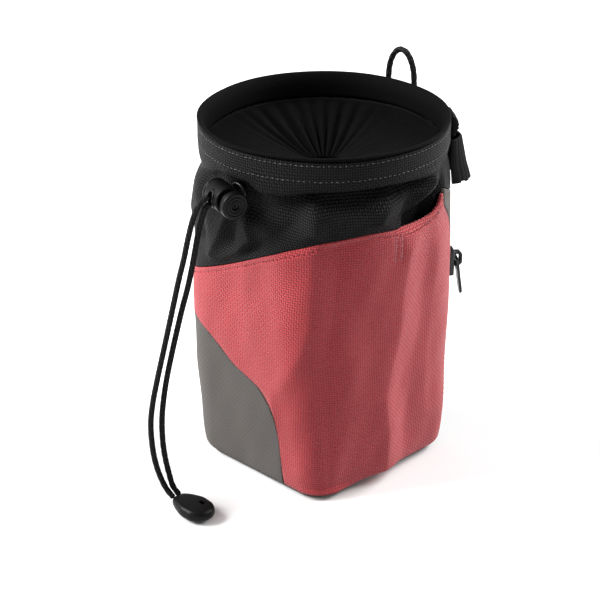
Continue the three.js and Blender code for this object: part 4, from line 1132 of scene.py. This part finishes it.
# Cord lock barrel: a moulded tube of black plastic with an oblong hole for both strands, a
# raised lip round the hole and a groove near its closed end.
LOCK_AXES = np.array([(0.9563, -0.29237, 0), (0.29237, 0.9563, 0), (0, 0, 1)])
LOCK_PLACE = np.array([-0.0016184, -0.0618059, 0.149])
LOCK_HEADING = math.radians(-17)
LOCK_RADIUS = 0.0064
LOCK_HOLE = (0.0036, 0.03, 0.007)
HOLE_CORNER = 0.0017
HOLE_MIDDLE = -0.001
LIP_HALF_WIDTH = 0.0024
LIP_HALF_HEIGHT = 0.0041
LIP_THICKNESS = 0.0006
barrel = lathed("cord_lock_barrel_shell", softened([
    (-0.00924, 0.0001), (-0.00924, 0.0046), (-0.00924, 0.0061), (-0.0087, LOCK_RADIUS),
    (-0.0079, LOCK_RADIUS), (-0.0076, 0.0061), (-0.0072, 0.0061), (-0.0069, LOCK_RADIUS),
    (-0.002, LOCK_RADIUS), (0.0036, LOCK_RADIUS), (0.0043, LOCK_RADIUS), (0.00476, 0.006),
    (0.00476, 0.0049), (0.0044, 0.0047), (-0.0072, 0.0047), (-0.00764, 0.0044), (-0.00764, 0.0001),
], 2), LOCK_PLACE, LOCK_AXES, plastic_finish)
cut_away(barrel, LOCK_HOLE, LOCK_PLACE + HOLE_MIDDLE * LOCK_AXES[0], LOCK_HEADING, HOLE_CORNER)
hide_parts("cord_lock_barrel")
lip_round = np.linspace(0, 2 * math.pi, 72, endpoint=False)
tube_round = np.linspace(0, 2 * math.pi, 12, endpoint=False)[None, :]
for side, name in ((-1, "cord_lock_lip_front"), (1, "cord_lock_lip_back")):
    reach = LIP_THICKNESS * np.cos(tube_round)
    x = HOLE_MIDDLE + (LIP_HALF_WIDTH + reach) * boxy(np.cos(lip_round), 0.8)[:, None]
    z = (LIP_HALF_HEIGHT + reach) * boxy(np.sin(lip_round), 0.8)[:, None]
    surface = np.sqrt(LOCK_RADIUS**2 - np.minimum(np.abs(z), 0.0062) ** 2)
    y = side * (surface + 0.0005 * np.sin(tube_round))
    points = placed(np.stack([x, y, z], -1), LOCK_PLACE, LOCK_AXES)
    grid_piece(name, points, points[..., :2], plastic_finish, (True, True))


# Cord lock button: the plunger that a spring pushes out of the barrel, with a round cap whose
# face has rings and a small hollow. It slides in the barrel.
BUTTON_HOLE = (0.0071, 0.03, 0.007)
BUTTON_HOLE_MIDDLE = 0.00075
button = lathed("cord_lock_button_cap", softened([
    (-0.00389, 0.0001), (-0.00389, 0.0042), (-0.0036, 0.00445), (0.0082, 0.00445), (0.0085, 0.0047),
    (0.00856, 0.0059), (0.0089, LOCK_RADIUS), (0.0096, LOCK_RADIUS), (0.0112, LOCK_RADIUS),
    (0.0118, 0.0062), (0.01205, 0.0057), (0.0121, 0.0050), (0.0121, 0.0047), (0.01183, 0.0045),
    (0.01183, 0.0043), (0.01215, 0.0041), (0.01215, 0.0035), (0.01215, 0.0032), (0.01188, 0.0030),
    (0.01188, 0.0028), (0.01216, 0.0026), (0.01216, 0.0020), (0.0119, 0.0017), (0.0114, 0.0014),
    (0.0112, 0.0010), (0.0112, 0.0001),
], 2), LOCK_PLACE, LOCK_AXES, plastic_finish, "lock_button")
hole_place = LOCK_PLACE + BUTTON_HOLE_MIDDLE * LOCK_AXES[0]
cut_away(button, BUTTON_HOLE, hole_place, LOCK_HEADING, HOLE_CORNER)
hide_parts("cord_lock_button")


# Zip tape: woven black tape in two halves, which lies behind the slot and is sewn to the slot's
# folded edges.
webbing = cloth("black_webbing", (0.0012, 0.0012, 0.0013), (0.0085, 0.0085, 0.009), 0.0007,
                relief=0.0002, gloss=0.12)
TAPE_HALF = 0.0043
TAPE_END = 0.0004
section = softened([
    (-TAPE_HALF, -0.0015), (TAPE_HALF, -0.0015), (TAPE_HALF, -0.0004), (0, -0.00035), (-TAPE_HALF, -0.0004),
], 2)
tape_low, tape_high = TAPE_END, ZIP_RUN - TAPE_END
heights = np.concatenate([[tape_low], np.linspace(tape_low, tape_high, 60), [tape_high]])
local = np.stack(np.broadcast_arrays(section[None, :, 0], section[None, :, 1], heights[:, None]), -1).copy()
local[[0, -1], :, :2] = (0, -0.0009)
tape = grid_piece("zip_tape_weave", placed(local, ZIP_FOOT, ZIP_AXES), local[..., [0, 2]], webbing,
                  (False, True))
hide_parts("zip_tape")


# Zip teeth: small teeth of black plastic, moulded on the edges of both halves of the tape in
# turn. They are closed over their whole run.
TOOTH_COUNT = 58
TOOTH_PITCH = 0.00128
TOOTH_FIRST = 0.0024
TOOTH_ASIDE = 0.00045
TOOTH_OUT = 0.0006
tooth_across = np.linspace(0, 2 * math.pi, 10, endpoint=False)[:, None]
tooth_up = np.linspace(-math.pi / 2, math.pi / 2, 7)[None, :]
bulge = np.abs(np.cos(tooth_up)) ** 0.35
shape = np.stack(np.broadcast_arrays(
    0.00125 * bulge * boxy(np.cos(tooth_across), 0.5),
    0.00072 * bulge * boxy(np.sin(tooth_across), 0.5),
    0.00048 * boxy(np.sin(tooth_up), 0.5),
), -1)
teeth = []
for k in range(TOOTH_COUNT):
    side = 1 if k % 2 else -1
    local = shape + (side * TOOTH_ASIDE, TOOTH_OUT, TOOTH_FIRST + k * TOOTH_PITCH)
    points = placed(local, ZIP_FOOT, ZIP_AXES)
    teeth.append(grid_piece(f"zip_tooth_{k + 1}", points, points[..., :2], plastic_finish,
                            (True, False)))
with bpy.context.temp_override(active_object=teeth[0], selected_editable_objects=teeth):
    bpy.ops.object.join()
teeth[0].name = "zip_teeth_row"
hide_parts("zip_teeth")


# Zip slider: cast metal, painted black. It straddles the teeth, and a crown on top of it holds
# the puller.
def rounded_copy(name, node, width, finish, body):
    """A piece with the shape of the frame's own node and softly rounded edges."""
    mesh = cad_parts[node].data.copy()
    mesh.materials.clear()
    mesh.materials.append(finish)
    piece = bpy.data.objects.new(name, mesh)
    bpy.context.scene.collection.objects.link(piece)
    welding = piece.modifiers.new("weld", "WELD")
    welding.merge_threshold = 0.00001
    rounding = piece.modifiers.new("edges", "BEVEL")
    rounding.width = width
    rounding.segments = 3
    rounding.angle_limit = math.radians(20)
    evaluated = piece.evaluated_get(bpy.context.evaluated_depsgraph_get())
    piece.data = bpy.data.meshes.new_from_object(evaluated)
    piece.modifiers.clear()
    piece.data.polygons.foreach_set("use_smooth", [True] * len(piece.data.polygons))
    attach(piece, body)
    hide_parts(node)


rounded_copy("zip_slider_body", "zip_slider", 0.00028, metal_finish, "bag")


# Zip puller: a plate of the same black metal with a window at its head. The slider's crown
# runs through the window, and the puller swings on it.
rounded_copy("zip_puller_plate", "zip_puller", 0.0003, metal_finish, "puller")


# Brush loop: a sleeve of black ribbed elastic, sewn along both sides under the rim, that bulges
# from the bag and flares downwards.
TRIM_GAP = 0.0004


def off_body(turn, z, proud):
    """A place that stands off the band or the body, whichever reaches further."""
    body = body_point(turn, np.minimum(z, BODY_TOP), 0.0)
    reach = np.maximum(MOUTH_RADIUS, np.hypot(body[..., 0], body[..., 1])) + TRIM_GAP + proud
    angle = np.radians(turn)
    return np.stack([reach * np.cos(angle), reach * np.sin(angle), z + 0 * reach], -1)


RIBS = 10
BRUSH_TURN = 45
BRUSH_SPREAD = 16
BRUSH_LOW = 0.1381
BRUSH_HIGH = 0.1601
PROUD_LOW = 0.0092
PROUD_HIGH = 0.0047
brush_across = np.linspace(0, 1, 161)[:, None]
brush_up = np.linspace(0, 1, 40)[None, :]
proud = PROUD_LOW + (PROUD_HIGH - PROUD_LOW) * brush_up
arch = np.abs(np.sin(math.pi * brush_across)) ** 0.7
rib = np.abs(np.sin(math.pi * RIBS * brush_across)) ** 0.6
low = BRUSH_LOW + 0.0007 * (np.floor(brush_across * RIBS) % 2)
z = low + (BRUSH_HIGH - low) * brush_up
turn = BRUSH_TURN + BRUSH_SPREAD * brush_across + 0 * z
edge = 0.5 + 0.5 * np.clip(np.minimum(brush_up, 1 - brush_up) / 0.03, 0, 1)
outer = off_body(turn, z, proud * arch + 0.0007 + (0.00025 + 0.00055 * rib) * edge)
inner = off_body(turn, z, proud * arch + 0.0007 - 0.0006 * edge)
lengths = np.stack(np.broadcast_arrays(brush_across * 0.034, z), -1)
loop = sheet_piece("brush_loop_elastic", outer, inner, lengths, webbing)
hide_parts("brush_loop")


# Rim tab: a short piece of black webbing, folded over itself and sewn to the rim band above the
# brush loop.
TAB_TURN = 48
TAB_SPREAD = 10
TAB_LOW = 0.1605
TAB_HEIGHT = 0.0109
tab_across = np.linspace(0, 1, 24)[:, None]
tab_up = np.linspace(0, 1, 30)[None, :]
turn = TAB_TURN + TAB_SPREAD * tab_across + 0 * tab_up
z = TAB_LOW + TAB_HEIGHT * tab_up + 0 * tab_across
soft = np.clip(np.minimum(np.minimum(tab_across, 1 - tab_across) / 0.06, 1), 0, 1) ** 0.5
bulge = 0.0026 * np.sin(math.pi * np.minimum(tab_up * 1.1, 1)) ** 0.6 + 0.0003 * np.sin(tab_up * 40)
outer = off_body(turn, z, 0.0008 + 0.0006 * soft + bulge)
inner = off_body(turn, z, 0.0003)
lengths = np.stack(np.broadcast_arrays(tab_across * 0.01, z), -1)
tab = sheet_piece("rim_tab_webbing", outer, inner, lengths, webbing)
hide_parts("rim_tab")


# Hanging loop: a bent braided cord of 3 mm at the back, whose ends lie on the rim band and are
# each held by a tight row of stitches.
HANG_PLACE = np.array([-0.00678, 0.059515, 0])
HANG_HEADING = math.radians(6.5)
HANG_AXES = np.array([
    (math.cos(HANG_HEADING), math.sin(HANG_HEADING), 0), (-math.sin(HANG_HEADING), math.cos(HANG_HEADING), 0),
    (0, 0, 1),
])
HANG_DIAMETER = 0.003
HANG_HALF = 0.0075
HANG_LOW = 0.1604
HANG_BEND = 0.1734
HANG_ARCH = 0.0146
local = [(-HANG_HALF, 0, HANG_LOW)]
for a in np.linspace(0, math.pi, 11):
    local.append((-HANG_HALF * math.cos(a), 0, HANG_BEND + HANG_ARCH * math.sin(a)))
local.append((HANG_HALF, 0, HANG_LOW))
route = placed(np.array(local), HANG_PLACE, HANG_AXES)
hang = braided("hang_loop_braid", route, HANG_DIAMETER, cord_finish)[0]
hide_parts("hang_loop")

WRAP_RADIUS = 0.0017
WRAP_THREAD = 0.0005
WRAP_LOW = 0.1632
WRAP_HIGH = 0.1685
angle = np.linspace(-0.15 * math.pi, 1.15 * math.pi, 9)
for side, name in ((-1, "hang_tack_left"), (1, "hang_tack_right")):
    wraps = []
    for height in np.arange(WRAP_LOW, WRAP_HIGH, WRAP_THREAD):
        across, out = WRAP_RADIUS * np.cos(angle), WRAP_RADIUS * np.sin(angle)
        wrap = np.stack([side * HANG_HALF + across, out, height + 0 * angle], -1)
        wraps.append(wrap if len(wraps) % 2 else wrap[::-1])
    route = placed(np.concatenate(wraps), HANG_PLACE, HANG_AXES)
    braided(name, route, WRAP_THREAD, cord_finish, strands=2, lay=0.002, relief=0.1,
            sides_round=8)


# What the finished piece measures.
low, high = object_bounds()
